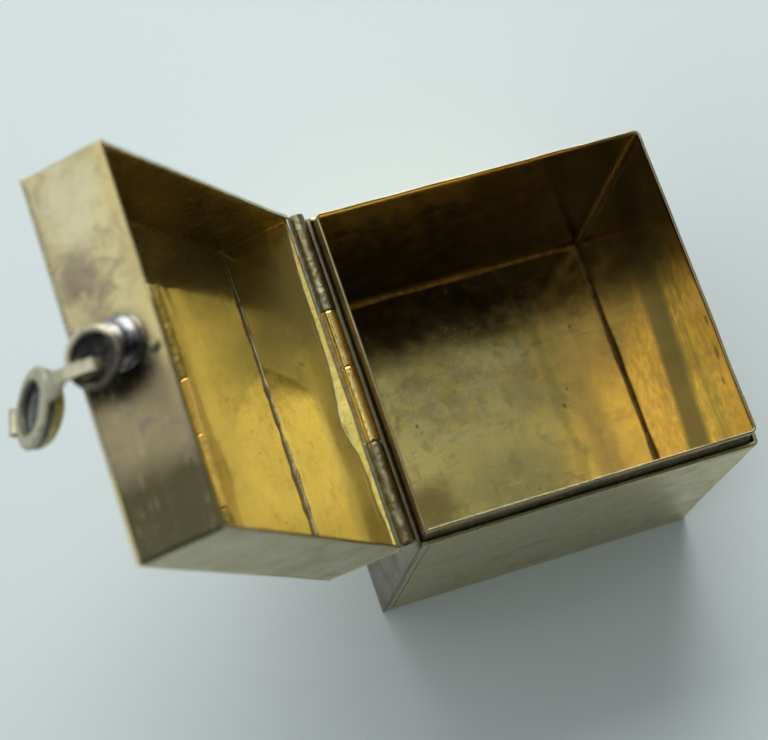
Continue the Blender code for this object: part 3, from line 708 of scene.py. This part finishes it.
# ------------------------------------------------------------------ box floor
def floor_marks(g):
    x, y, z = g.xyz
    cloud = g.noise(0.12, detail=6, rough=0.66, warp=0.9, shift=(9, 21, 3))
    cloud_2 = g.noise(0.23, detail=6, rough=0.7, warp=0.6, shift=(2, 11, 13))
    g.tint(g.ramp(cloud, 0.50, 0.60, high=0.8), (1.0, 0.80, 0.25))
    g.tint(g.ramp(cloud_2, 0.52, 0.66, high=0.5), (0.46, 0.38, 0.15))
    # pale and olive areas
    pale = g.math("MAXIMUM", g.patch((8, 7, 1), (11, 15, 9)), g.patch((2, -13, 1), (12, 5, 9)))
    g.tint(g.mul(pale, g.ramp(cloud, 0.60, 0.44)), (0.80, 0.71, 0.38), amount=0.5)
    g.tint(g.patch((-19, -4, 1), (8, 12, 9)), (0.50, 0.45, 0.18), amount=0.55)
    # bright strip and two dull lines along the front
    wavy_y = g.add(y, g.sway(g.noise(0.08, detail=4, rough=0.6), 7))
    g.tint(g.ramp(wavy_y, -21.5, -25.0), (1.0, 0.75, 0.26), amount=0.6)
    g.tint(g.near(g.add(wavy_y, 19.8), 2.4, 0.4), (0.44, 0.42, 0.17), amount=0.5)
    g.tint(g.near(g.add(wavy_y, 29.5), 1.6, 0.3), (0.60, 0.46, 0.18), amount=0.25)
    # glint, brown stain and small dark dots
    glint = g.patch((14.6, -13.5, 1), (3.2, 1.5, 3), soft=0.7, wander=0.6, scale=0.4)
    g.tint(glint, (1.0, 0.94, 0.52), amount=0.6)
    stain = g.patch((-18.5, 20.5, 1), (6.5, 7.5, 6), soft=0.7, scale=0.14)
    g.tint(stain, (0.25, 0.165, 0.06), amount=0.7)
    # x, y, radius
    dots = ((-3.0, -20.5, 0.55), (2.5, 17.0, 0.5), (1.0, -22.5, 0.4), (-9.0, 24.0, 0.5),
            (16.5, -29.0, 0.5))
    for dot_x, dot_y, radius in dots:
        dot = g.patch((dot_x, dot_y, 1), (radius, radius * 0.8, 2), soft=0.4, wander=0.6,
                      scale=0.8)
        g.tint(dot, (0.12, 0.085, 0.04), amount=0.75)
    g.roughen(pale, 0.10)


# ------------------------------------------------------------------ lining
def lining_far_wall(g):
    """Painted shade over brown streaks, darkest towards the front."""
    x, y, z = g.xyz
    far = g.mul(g.ramp(x, 34, 37), g.ramp(y, 39, 36))
    streaks = g.noise(0.16, detail=5, rough=0.65, warp=0.3, stretch=(1, 0.10, 1),
                      shift=(4, 4, 9))
    # painted shade: dark brown streaks darken the far wall, darkest towards the front
    streaky_shade = g.mix(g.ramp(streaks, 0.42, 0.62), (0.17, 0.125, 0.09), (0.10, 0.074, 0.055))
    g.tint(far, streaky_shade, amount=0.88)
    g.tint(g.mul(far, g.ramp(y, 4, -24)), (0.065, 0.052, 0.045), amount=0.7)


def lining_front_wall(g):
    """Amber with blotches, level bands and a dark slanting band."""
    x, y, z = g.xyz
    front = g.ramp(y, -36.5, -38)
    g.tint(front, (0.98, 0.64, 0.15), amount=0.85)
    wobble = g.sway(g.noise(0.06, detail=4, rough=0.6), 9)
    wavy_z = g.add(z, wobble)
    blotches = g.noise(0.12, detail=5, rough=0.6, warp=0.15, shift=(5, 5, 5))
    g.tint(g.mul(front, g.ramp(blotches, 0.48, 0.64)), (0.52, 0.33, 0.10), amount=0.5)
    bands = g.noise(0.20, detail=4, rough=0.6, warp=0.2, stretch=(0.09, 1, 1), shift=(9, 1, 0))
    g.tint(g.mul(front, g.ramp(bands, 0.50, 0.64), g.ramp(z, 36, 42)),
           (0.40, 0.31, 0.11), amount=0.7)
    g.tint(g.mul(front, g.ramp(wavy_z, 57, 63)), (0.90, 0.52, 0.13), amount=0.6)
    slant = g.sub(g.add(z, g.mul(wobble, 0.35)), g.mul(x, 0.18))
    g.tint(g.mul(front, g.ramp(slant, 28.5, 34.0), g.ramp(slant, 50.0, 43.5)),
           (0.105, 0.08, 0.034), amount=0.97)
    # dull far half, orange low near corner
    across = g.sub(g.add(x, g.mul(wobble, 0.6)), g.mul(z, 0.10))
    g.tint(g.mul(front, g.ramp(across, -4, 12)), (0.27, 0.205, 0.105), amount=0.8)
    g.tint(g.mul(front, g.ramp(x, -22, -36), g.ramp(wavy_z, 24, 16)),
           (0.62, 0.34, 0.08), amount=0.7)
    # dark spots: x, z, radius
    spots = ((-29.0, 9.5, 1.4), (-16.5, 66.0, 1.5), (-22.5, 63.5, 0.9), (-9.0, 67.0, 1.1))
    for spot_x, spot_z, radius in spots:
        spot = g.patch((spot_x, -38, spot_z), (radius, 3, radius * 0.7), soft=0.5, wander=0.9,
                       scale=0.5)
        g.tint(spot, (0.14, 0.085, 0.05), amount=0.85)
    # painted shade: a black line down the far front corner, covering the corner's reflection
    corner = g.mul(g.ramp(x, 34.6, 36.2), g.ramp(y, -35.8, -37.2))
    g.tint(corner, (0.07, 0.05, 0.03), amount=0.9)
    g.roughen(corner, 0.35)


def lining_rim(g):
    """Grey rim, and an outer side that is duller and grey low down."""
    x, y, z = g.xyz
    g.tint(g.ramp(z, 68.6, 70.0), (0.38, 0.35, 0.23), amount=0.85)
    g.tint(g.mul(g.ramp(z, 67.2, 65.0), g.ramp(g.noise(0.4, detail=4), 0.4, 0.6)),
           (0.16, 0.13, 0.08), amount=0.3)
    sides = g.math("MAXIMUM", g.ramp(x, -37.0, -37.15), g.ramp(x, 37.45, 37.6))
    ends = g.math("MAXIMUM", g.ramp(y, -38.4, -38.6), g.ramp(y, 38.4, 38.6))
    outside = g.math("MAXIMUM", sides, ends)
    g.tint(outside, (0.62, 0.50, 0.24), amount=0.75)
    mottle = g.noise(0.3, detail=5, rough=0.6, warp=0.5)
    g.tint(g.mul(outside, g.ramp(mottle, 0.42, 0.62), g.ramp(z, 68.6, 66.4)),
           (0.36, 0.36, 0.30), amount=0.85)
    # painted shade: mottled dark browns on the lining's outer back face
    back = g.ramp(y, 38.4, 38.6)
    mottle = g.noise(0.5, detail=5, rough=0.6, warp=0.5)
    shaded_browns = g.mix(g.ramp(mottle, 0.4, 0.62), (0.40, 0.29, 0.11), (0.20, 0.155, 0.075))
    g.tint(back, shaded_browns, amount=0.75)
    g.roughen(g.add(g.mul(outside, 0.18), g.mul(back, 0.2)))


def lining_marks(g):
    lining_far_wall(g)
    lining_front_wall(g)
    lining_rim(g)


# ------------------------------------------------------------------ box walls
def box_wrap_marks(g):
    """Thin dark lines of the butt joint at the back corners, with a lit line between."""
    x, y, z = g.xyz
    wavy_y = g.add(y, g.sway(g.noise(0.2, detail=4), 0.35))
    lines = g.math("MAXIMUM", g.near(g.sub(wavy_y, 37.6), 0.30, 0.12),
                   g.near(g.sub(wavy_y, 38.75), 0.26, 0.10))
    g.tint(lines, (0.045, 0.042, 0.03), amount=0.85)
    g.tint(g.near(g.sub(wavy_y, 38.2), 0.28, 0.10), (0.66, 0.62, 0.48), amount=0.5)


def box_back_marks(g):
    """Dark mottled top edge."""
    x, y, z = g.xyz
    top = g.ramp(z, 63.6, 64.7)
    mottle = g.noise(0.45, detail=5, rough=0.65, warp=0.6)
    g.tint(top, g.mix(g.ramp(mottle, 0.42, 0.6), (0.08, 0.062, 0.03), (0.14, 0.12, 0.075)))
    g.roughen(top, 0.16)


paint(material("gilt_floor_metal", gilt, gold=(1.0, 0.82, 0.27), olive=(0.74, 0.63, 0.22),
               rough=0.165, haze=0.12, calm=0.7, marks=floor_marks), "box_floor")
paint(material("lining_gilt_metal", gilt, gold=(0.86, 0.63, 0.21), rough=0.14, vary=0.7, calm=0.2,
               edge_amount=0.12, brush=(0.06, 1, 1), marks=lining_marks), "inner_lining")
paint(material("box_silver_metal", silver, marks=box_wrap_marks), "box_wrap")
# painted shade: the back plate's silver is darkened throughout, standing in for the open lid's
# shadow
paint(material("box_back_shaded_silver_metal", silver, base=(0.195, 0.175, 0.115),
               warm=(0.24, 0.20, 0.12), dark=(0.11, 0.09, 0.06), light=(0.23, 0.20, 0.115),
               marks=box_back_marks), "box_back_plate")


# ------------------------------------------------------------------ lid sheets
def worn_patches(g, shift, colour, high):
    worn = g.noise(0.7, detail=5, rough=0.72, warp=0.2, stretch=(0.5, 1, 1), shift=shift)
    g.tint(g.ramp(worn, 0.50, 0.70, high=high), colour)


def lid_back_marks(g):
    """The filed rim is brighter and rougher; a painted olive reflection lies on the half nearer
    it.
    """
    x, y, z = g.xyz
    rim = g.ramp(y, 39.14, 39.20)
    mottle = g.noise(0.9, detail=5, rough=0.6, warp=0.4, shift=(6, 6, 1))
    g.tint(rim, g.mix(g.ramp(mottle, 0.5, 0.68), (1.0, 0.79, 0.19), (0.64, 0.46, 0.11)),
           amount=0.85)
    g.tint(g.ramp(z, BACK_RIM + 0.28, BACK_RIM + 0.05), (0.42, 0.30, 0.10), amount=0.7)
    # the painted olive reflection reaches higher towards the far end
    wobble = g.sway(g.noise(0.09, detail=4, rough=0.6, warp=0.3, shift=(2, 2, 8)), 2.2)
    lean = g.sub(g.add(z, wobble), g.ramp(x, 0, 15, high=11))
    reflection_band = g.mul(g.sub(1.0, rim), g.ramp(lean, 74.2, 72.6))
    g.tint(reflection_band, (0.80, 0.71, 0.30), amount=0.5)
    g.tint(g.mul(g.sub(1.0, rim), g.ramp(x, -17, -31)), (0.50, 0.41, 0.14), amount=0.62)
    worn_patches(g, shift=(1, 5, 5), colour=(0.58, 0.43, 0.11), high=0.45)
    g.metallic = g.sub(1.0, g.mul(reflection_band, 0.17))
    g.roughen(g.add(g.mul(rim, 0.14), g.mul(reflection_band, 0.06)))


def lid_top_marks(g):
    """Painted dark reflection of the hinge tubes along the middle, dull near end, brighter away
    from the back.
    """
    x, y, z = g.xyz
    wobble = g.sway(g.noise(0.25, detail=4, rough=0.6, warp=0.4), 1.6)
    wavy_y = g.add(g.add(y, wobble), g.ramp(x, 4, -34, high=-1.6))
    # painted reflection: a dark band where the hinge tubes mirror in the plate
    tube_reflection = g.mul(g.ramp(wavy_y, 5.4, 4.6), g.ramp(wavy_y, 2.8, 3.5), g.ramp(x, 12, 0))
    g.tint(tube_reflection, (0.30, 0.21, 0.07), amount=0.45)
    g.tint(g.ramp(x, -20, -36), (0.62, 0.46, 0.13), amount=0.35)
    worn_patches(g, shift=(7, 5, 2), colour=(0.62, 0.45, 0.11), high=0.40)
    g.tint(g.ramp(y, 30, 12), (1.0, 0.76, 0.24), amount=0.5)
    g.metallic = 0.88
    g.roughen(tube_reflection, 0.10)


def lid_wrap_inner_marks(g):
    """Pale front wall; brown far wall, worn silver at its rim."""
    x, y, z = g.xyz
    front = g.ramp(y, -36.5, -38.5)
    mottle = g.noise(0.12, detail=5, rough=0.6, warp=0.5, shift=(3, 3, 3))
    g.tint(front, g.mix(g.ramp(mottle, 0.35, 0.65), (0.86, 0.80, 0.42), (0.66, 0.60, 0.28)),
           amount=0.9)
    far = g.ramp(x, 34, 38.5)
    g.tint(far, g.mix(g.ramp(mottle, 0.35, 0.62), (0.36, 0.29, 0.17), (0.22, 0.17, 0.10)),
           amount=0.75)
    wavy_z = g.add(z, g.mul(g.noise(0.4, detail=5, rough=0.7, warp=0.5), 3.0))
    g.tint(g.mul(far, g.ramp(wavy_z, 67.6, 66.6)), (0.62, 0.63, 0.54), amount=0.85)
    g.roughen(front, 0.22)
    g.roughen(far, 0.08)


def lid_wrap_outer_marks(g):
    """The outer front wall has its own colours, darkening towards the near side."""
    x, y, z = g.xyz
    front = g.ramp(y, -38.6, -39.4)
    broad = g.noise(0.075, detail=6, rough=0.66, warp=0.8, shift=(4, 12, 6))
    mid = g.noise(0.15, detail=6, rough=0.7, warp=1.0, shift=(14, 2, 2))
    other_walls = g.colour
    g.colour = (0.68, 0.59, 0.30)
    g.tint(g.ramp(broad, 0.38, 0.62), (0.49, 0.40, 0.225))
    g.tint(g.ramp(mid, 0.50, 0.66, high=0.6), (0.24, 0.18, 0.13))
    g.tint(g.ramp(mid, 0.44, 0.30, high=0.6), (0.62, 0.54, 0.30))
    # pale patch, then plum patch
    pale = g.patch((31, -40, 75), (9, 4, 7), soft=0.5, wander=2.2, scale=0.16)
    g.tint(pale, (0.68, 0.63, 0.40), amount=0.8)
    plum = g.patch((16, -40, 78.5), (5, 4, 5), wander=1.8, scale=0.1)
    g.tint(plum, (0.19, 0.145, 0.12), amount=0.7)
    # the near half
    g.tint(g.ramp(x, 0, -8, high=0.78), (0.23, 0.185, 0.105))
    g.tint(g.mul(g.ramp(mid, 0.48, 0.60), g.ramp(x, 6, -6)), (0.25, 0.185, 0.15), amount=0.6)
    g.tint(g.ramp(g.add(x, g.mul(mid, 6)), -16, -24, high=0.92), (0.078, 0.072, 0.033))
    # brown disc, and a taller black patch beside the pull that is painted shadow of the pull
    disc = g.patch((1.2, -40, 74.2), (6.6, 3, 6.6), soft=0.25, wander=0.5, scale=0.25)
    g.tint(disc, (0.20, 0.16, 0.07), amount=0.55)
    pull_shadow = g.patch((-4.3, -40, 78.2), (4.4, 3, 8.6), soft=0.55, wander=0.5, scale=0.3)
    g.tint(pull_shadow, (0.035, 0.032, 0.02), amount=0.96)
    rim = g.ramp(g.add(z, g.mul(mid, 1.5)), 69.5, 66.2)
    g.tint(g.mul(rim, g.ramp(x, -16, 8)), (0.62, 0.50, 0.22), amount=0.8)
    g.colour = g.mix(front, other_walls, g.colour)
    g.roughen(front, 0.02)


def lid_top_inside(g):
    x, y, z = g.xyz
    lo, hi = LID_TOP

    def within(value, axis):
        return g.mul(g.ramp(value, lo[axis] + 0.35, lo[axis] + 0.5),
                     g.ramp(value, hi[axis] - 0.35, hi[axis] - 0.5))

    return g.mul(g.ramp(z, hi[2] - 0.45, hi[2] - 0.6), g.mul(within(x, 0), within(y, 1)))


def lid_wrap_inside(g):
    x, y, z = g.xyz
    lo, hi = LID_WRAP
    return g.mul(g.ramp(x, lo[0] + 0.62, lo[0] + 0.82), g.ramp(x, hi[0] - 0.62, hi[0] - 0.82),
                 g.ramp(y, lo[1] + 0.62, lo[1] + 0.82))


def lid_back_inside(g):
    back = LID_BACK[1][1]
    return g.ramp(g.xyz[1], back - 0.10, back - 0.2)


LID_GILT = dict(gold=(0.96, 0.77, 0.27), olive_amount=0.3, brown_amount=0.16, vary=0.35,
                calm=0.14)

paint(material(
    "lid_wrap_metal", two_sided, on_lid=True, inside=lid_wrap_inside,
    gilt_options=dict(gold=(0.56, 0.40, 0.17), olive=(0.34, 0.27, 0.12), rough=0.15,
                      brown_amount=0.6, marks=lid_wrap_inner_marks),
    silver_options=dict(base=(0.52, 0.49, 0.285), warm=(0.56, 0.50, 0.285),
                        dark=(0.25, 0.22, 0.13), light=(0.70, 0.66, 0.44), rough=0.34,
                        marks=lid_wrap_outer_marks)), "lid_wrap")
paint(material(
    "lid_top_metal", two_sided, on_lid=True, inside=lid_top_inside,
    gilt_options=dict(LID_GILT, rough=0.045, marks=lid_top_marks),
    silver_options=dict(base=(0.40, 0.38, 0.27))), "lid_top_plate")
paint(material(
    "lid_back_metal", two_sided, on_lid=True, inside=lid_back_inside,
    gilt_options=dict(LID_GILT, rough=0.055, marks=lid_back_marks),
    silver_options=dict(base=(0.40, 0.36, 0.24))), "lid_back_plate")


# ------------------------------------------------------------------ hinge and solder
def tube_marks(g):
    """Grey-green, brown and black blotches."""
    broad = g.noise(0.28, detail=6, rough=0.7, warp=1.2, shift=(3, 3, 9))
    mid = g.noise(0.9, detail=5, rough=0.65, warp=0.6, shift=(8, 1, 4))
    g.tint(g.ramp(broad, 0.50, 0.62, high=0.8), (0.25, 0.26, 0.19))
    g.tint(g.ramp(mid, 0.56, 0.68, high=0.8), (0.28, 0.19, 0.06))
    g.tint(g.ramp(mid, 0.40, 0.30, high=0.8), (0.05, 0.04, 0.03))


def seam_marks(g):
    """Painted highlight on a broken crest between flanks darkened by painted shade, where the
    lid's top meets its back.
    """
    x, y, z = g.xyz
    across = g.sub(g.sub(y, 39.1), g.sub(z, 83.1))
    wobble = g.sway(g.noise(0.7, detail=4, rough=0.6), 0.7)
    offset = g.math("ABSOLUTE", g.add(across, wobble))
    breaks = g.noise(0.8, detail=4, rough=0.6, warp=0.4, shift=(1, 8, 8))
    crest_highlight = g.mul(g.ramp(offset, 0.34, 0.14), g.ramp(breaks, 0.36, 0.5))
    # painted shade on the flanks, then a painted highlight on the crest
    g.tint(g.ramp(offset, 0.25, 0.75), (0.24, 0.18, 0.08))
    g.tint(crest_highlight, (0.72, 0.62, 0.42), amount=0.8)


paint(material("hinge_bronze_metal", plain, colours=((0.22, 0.18, 0.09), (0.31, 0.265, 0.145)),
               rough=0.34, scale=0.35, lump=0.35, marks=tube_marks),
      "hinge_knuckle_near", "hinge_knuckle_far")
seat.data.materials.append(
    material("seat_solder_metal", plain, colours=((0.10, 0.08, 0.045), (0.17, 0.14, 0.085)),
             rough=0.45, scale=0.5, lump=0.25))
paint(material("hinge_gilt_metal", gilt, on_lid=True, gold=(0.96, 0.70, 0.22), rough=0.10,
               olive_amount=0.2, brown_amount=0.5), "lid_knuckle_long", "lid_knuckle_short")
paint(material("pin_steel_metal", plain, colours=((0.20, 0.19, 0.18), (0.12, 0.11, 0.10)),
               rough=0.4), "hinge_pin")
paint(material("hinge_solder_metal", plain, colours=((0.11, 0.095, 0.06), (0.17, 0.15, 0.10)),
               rough=0.5, scale=0.5), "hinge_solder_near", "hinge_solder_far")
paint(material("lid_solder_metal", plain, on_lid=True, rough=0.4, scale=0.5,
               colours=((0.50, 0.40, 0.24), (0.60, 0.55, 0.42))), "hinge_solder_lid")
paint(material("floor_solder_metal", plain, colours=((0.34, 0.235, 0.085), (0.17, 0.115, 0.05)),
               rough=0.5, scale=0.4, metallic=0.6), "lining_floor_solder")
paint(material("seam_solder_metal", plain, on_lid=True, rough=0.5, scale=0.9, metallic=0.75,
               colours=((0.27, 0.205, 0.10), (0.16, 0.12, 0.065)), marks=seam_marks),
      "lid_seam_solder")

# ------------------------------------------------------------------ pull on the lid's front
eye_lo, eye_hi = node_box("pull_eye", True)
CUP_RADIUS = (eye_hi[0] - eye_lo[0]) / 2
CUP_X = (eye_lo[0] + eye_hi[0]) / 2
CUP_Z = eye_hi[2] - CUP_RADIUS
WALL_Y = LID_WRAP[0][1]

# the drop's back is a shallow dish; its axis is the direction in which it is thinnest
dish = node_points("pull_drop_back", True)
DISH_CENTRE = (dish.min(0) + dish.max(0)) / 2
DISH_AXIS = np.linalg.svd(dish - dish.mean(0), full_matrices=False)[2][2]
if DISH_AXIS[1] > 0:
    DISH_AXIS = -DISH_AXIS
DISH_FRONT = float((dish @ DISH_AXIS).max())


def cup_marks(g):
    """Pale rim, silver flank, painted shade on the low side, blackened hollow."""
    x, y, z = g.xyz
    dx, dz = g.sub(x, CUP_X), g.sub(z, CUP_Z)
    radius = g.math("SQRT", g.add(g.mul(dx, dx), g.mul(dz, dz)))
    out = g.sub(WALL_Y, y)
    flank = g.ramp(out, 5.9, 5.3)
    mottle = g.noise(0.5, detail=5, rough=0.65, warp=0.5)
    side = g.add(g.mul(dx, 0.93), g.mul(dz, 0.38))
    # painted shade: the side away from the light is mottled dark
    low = g.ramp(g.add(side, g.sway(mottle, 3.0)), 1.6, -0.8)
    g.tint(low, g.mix(g.ramp(mottle, 0.45, 0.62), (0.045, 0.042, 0.04), (0.12, 0.105, 0.08)),
           amount=0.94)
    g.tint(g.mul(flank, g.ramp(side, -2.5, 1.0)),
           g.mix(g.ramp(mottle, 0.4, 0.62), (0.50, 0.50, 0.52), (0.22, 0.21, 0.20)))
    hollow = g.mul(g.ramp(radius, CUP_RADIUS - 1.15, CUP_RADIUS - 1.55),
                   g.ramp(out, 6.45, 5.9))
    g.tint(hollow,
           g.mix(g.ramp(mottle, 0.45, 0.65), (0.022, 0.021, 0.022), (0.075, 0.065, 0.055)))
    g.roughen(hollow, 0.08)


def collar_marks(g):
    """Dark groove and foot, brown mottling, black outer end."""
    x, y, z = g.xyz
    out = g.sub(WALL_Y, y)
    g.tint(g.near(g.sub(out, 1.15), 0.30, 0.12), (0.10, 0.09, 0.08), amount=0.8)
    g.tint(g.ramp(out, 0.35, 0.05), (0.10, 0.08, 0.04), amount=0.8)
    mottle = g.noise(0.45, detail=5, rough=0.65, warp=0.6, shift=(2, 7, 7))
    g.tint(g.ramp(mottle, 0.52, 0.66, high=0.75), (0.30, 0.19, 0.10))
    g.tint(g.ramp(out, 2.4, 3.3), (0.05, 0.05, 0.05), amount=0.85)


def ring_marks(g):
    """Inner lip of the ring blackened with painted shade."""
    offset = g.vector("SUBTRACT", g.point, tuple(DISH_CENTRE))
    radius = g.vector("LENGTH", g.vector("CROSS_PRODUCT", offset, tuple(DISH_AXIS)))
    mottle = g.noise(0.4, detail=5, rough=0.65, warp=0.5, shift=(9, 9, 2))
    # painted shade on the ring's inner lip
    lip_shade = g.ramp(g.add(radius, g.sway(mottle, 0.6)), 5.75, 5.25)
    g.tint(lip_shade, (0.12, 0.12, 0.10), amount=0.9)
    g.roughen(lip_shade, 0.15)


def dish_marks(g):
    """Grey, blackened recess inside the ring; the rest keeps its gilt."""
    along = g.vector("DOT_PRODUCT", g.point, tuple(DISH_AXIS))
    front = g.ramp(along, DISH_FRONT - 0.62, DISH_FRONT - 0.45)
    mottle = g.noise(0.35, detail=5, rough=0.65, warp=0.5)
    g.tint(front, g.mix(g.ramp(mottle, 0.42, 0.62), (0.23, 0.24, 0.225), (0.12, 0.125, 0.11)))
    g.roughen(front, 0.2)


paint(material("collar_silver_metal", plain, on_lid=True, rough=0.21, scale=0.25, lump=0.1,
               colours=((0.50, 0.52, 0.53), (0.34, 0.35, 0.36)), marks=collar_marks),
      "pull_collar")
paint(material("rove_metal", plain, on_lid=True, rough=0.35,
               colours=((0.60, 0.52, 0.32), (0.45, 0.38, 0.22))), "pull_rove")
paint(material("cup_metal", plain, on_lid=True, rough=0.34, dark=(0.25, 0.22, 0.15), scale=0.2,
               lump=0.1, colours=((0.62, 0.58, 0.42), (0.48, 0.44, 0.30)), marks=cup_marks),
      "pull_eye")
paint(material("pull_pale_metal", plain, on_lid=True, rough=0.50, dark=(0.22, 0.19, 0.12),
               scale=0.2, lump=0.1, colours=((0.54, 0.51, 0.37), (0.42, 0.39, 0.27)),
               marks=ring_marks), "pull_drop")
paint(material("bead_metal", plain, on_lid=True, rough=0.5,
               colours=((0.34, 0.31, 0.17), (0.22, 0.20, 0.11))), "front_bead")
paint(material("pull_back_metal", plain, on_lid=True, rough=0.4, scale=0.2, lump=0.1,
               colours=((0.70, 0.58, 0.25), (0.42, 0.36, 0.15)), marks=dish_marks),
      "pull_drop_back")

# ------------------------------------------------------------------ stage
STAGE_HALF = 3.0         # m
STAGE_GAP = 0.00005      # m, keeps the floor just clear of the box


def paper(g):
    g.colour, g.rough, g.metallic = (0.76, 0.83, 0.83), 0.9, 0.0
    g.bump(g.noise(0.9, detail=4), strength=0.05, depth=0.05)
    return g.shade()


def build_stage():
    bm = bmesh.new()
    bmesh.ops.create_grid(bm, x_segments=1, y_segments=1, size=STAGE_HALF)
    mesh = bpy.data.meshes.new("stage_floor")
    bm.to_mesh(mesh)
    bm.free()
    floor = add_object("stage_floor", mesh)
    floor.location = (0, 0, CAD_BOX[0].z - STAGE_GAP)
    mesh.materials.append(material("stage_floor_paper", paper))


# ------------------------------------------------------------------ light
def build_world():
    world = bpy.data.worlds.new("studio")
    bpy.context.scene.world = world
    sky = Graph(new_tree(world))
    ray = sky.node("TexCoord").outputs["Generated"]

    def facing(direction):
        return sky.vector("DOT_PRODUCT", ray, Vector(direction).normalized())

    # brightest up and beyond the hinge, dark above the near side
    level = sky.ramp(facing((0.35, 0.75, 0.55)), 0.30, 0.86, low=0.27, high=0.95)
    dark = sky.ramp(facing((-0.45, -0.12, 0.88)), 0.75, 0.89)
    level = sky.mul(level, sky.sub(1.0, sky.mul(dark, 0.97)))
    # a dark overhead strip on the far side
    x, y, z = sky.node("SeparateXYZ", {0: ray}).outputs
    slant = sky.add(x, sky.mul(y, 0.20))
    strip = sky.mul(sky.ramp(slant, 0.310, 0.331), sky.ramp(slant, 0.66, 0.52),
                    sky.ramp(z, 0.83, 0.89), sky.ramp(y, -0.02, 0.08))
    level = sky.mul(level, sky.sub(1.0, sky.mul(strip, 0.92)))
    glow = sky.node("Background", {"Color": (0.93, 0.98, 1.0), "Strength": level})
    sky.node("OutputWorld", {0: glow.outputs[0]})


def build_key():
    """Square softbox above the far side."""
    place, target = Vector((1.25, -0.03, 1.05)), Vector((0, 0, 0.02))
    data = bpy.data.lights.new("key_softbox", "AREA")
    data.shape = "RECTANGLE"
    data.size = data.size_y = 1.3
    data.energy = 21.0
    data.color = (0.97, 0.99, 1.0)
    key = add_object("key_softbox", data)
    key.location = place
    key.rotation_mode = "QUATERNION"
    key.rotation_quaternion = (place - target).to_track_quat("Z", "Y")


# ------------------------------------------------------------------ camera
CAMERA_PLACE = (-0.12253, 0.131895, 0.503224)
# right, up and backward directions of the camera
CAMERA_AXES = (
    (-0.317649, -0.940607, 0.119827),
    (0.910486, -0.267277, 0.315559),
    (-0.26479, 0.209338, 0.94131),
)
FOCUS = (-0.005, 0.01, 0.046)


def build_camera():
    data = bpy.data.cameras.new("camera")
    camera = add_object("camera", data)
    rotation = Matrix(CAMERA_AXES).transposed().to_4x4()
    camera.matrix_world = Matrix.Translation(CAMERA_PLACE) @ rotation
    data.sensor_width = 36
    data.lens = 100.54
    data.clip_start = 0.01
    data.clip_end = 20
    focus = add_object("focus", None)
    focus.location = FOCUS
    data.dof.use_dof = True
    data.dof.focus_object = focus
    data.dof.aperture_fstop = 18
    bpy.context.scene.camera = camera


build_stage()
build_world()
build_key()
build_camera()
bpy.context.scene.view_settings.view_transform = "Standard"
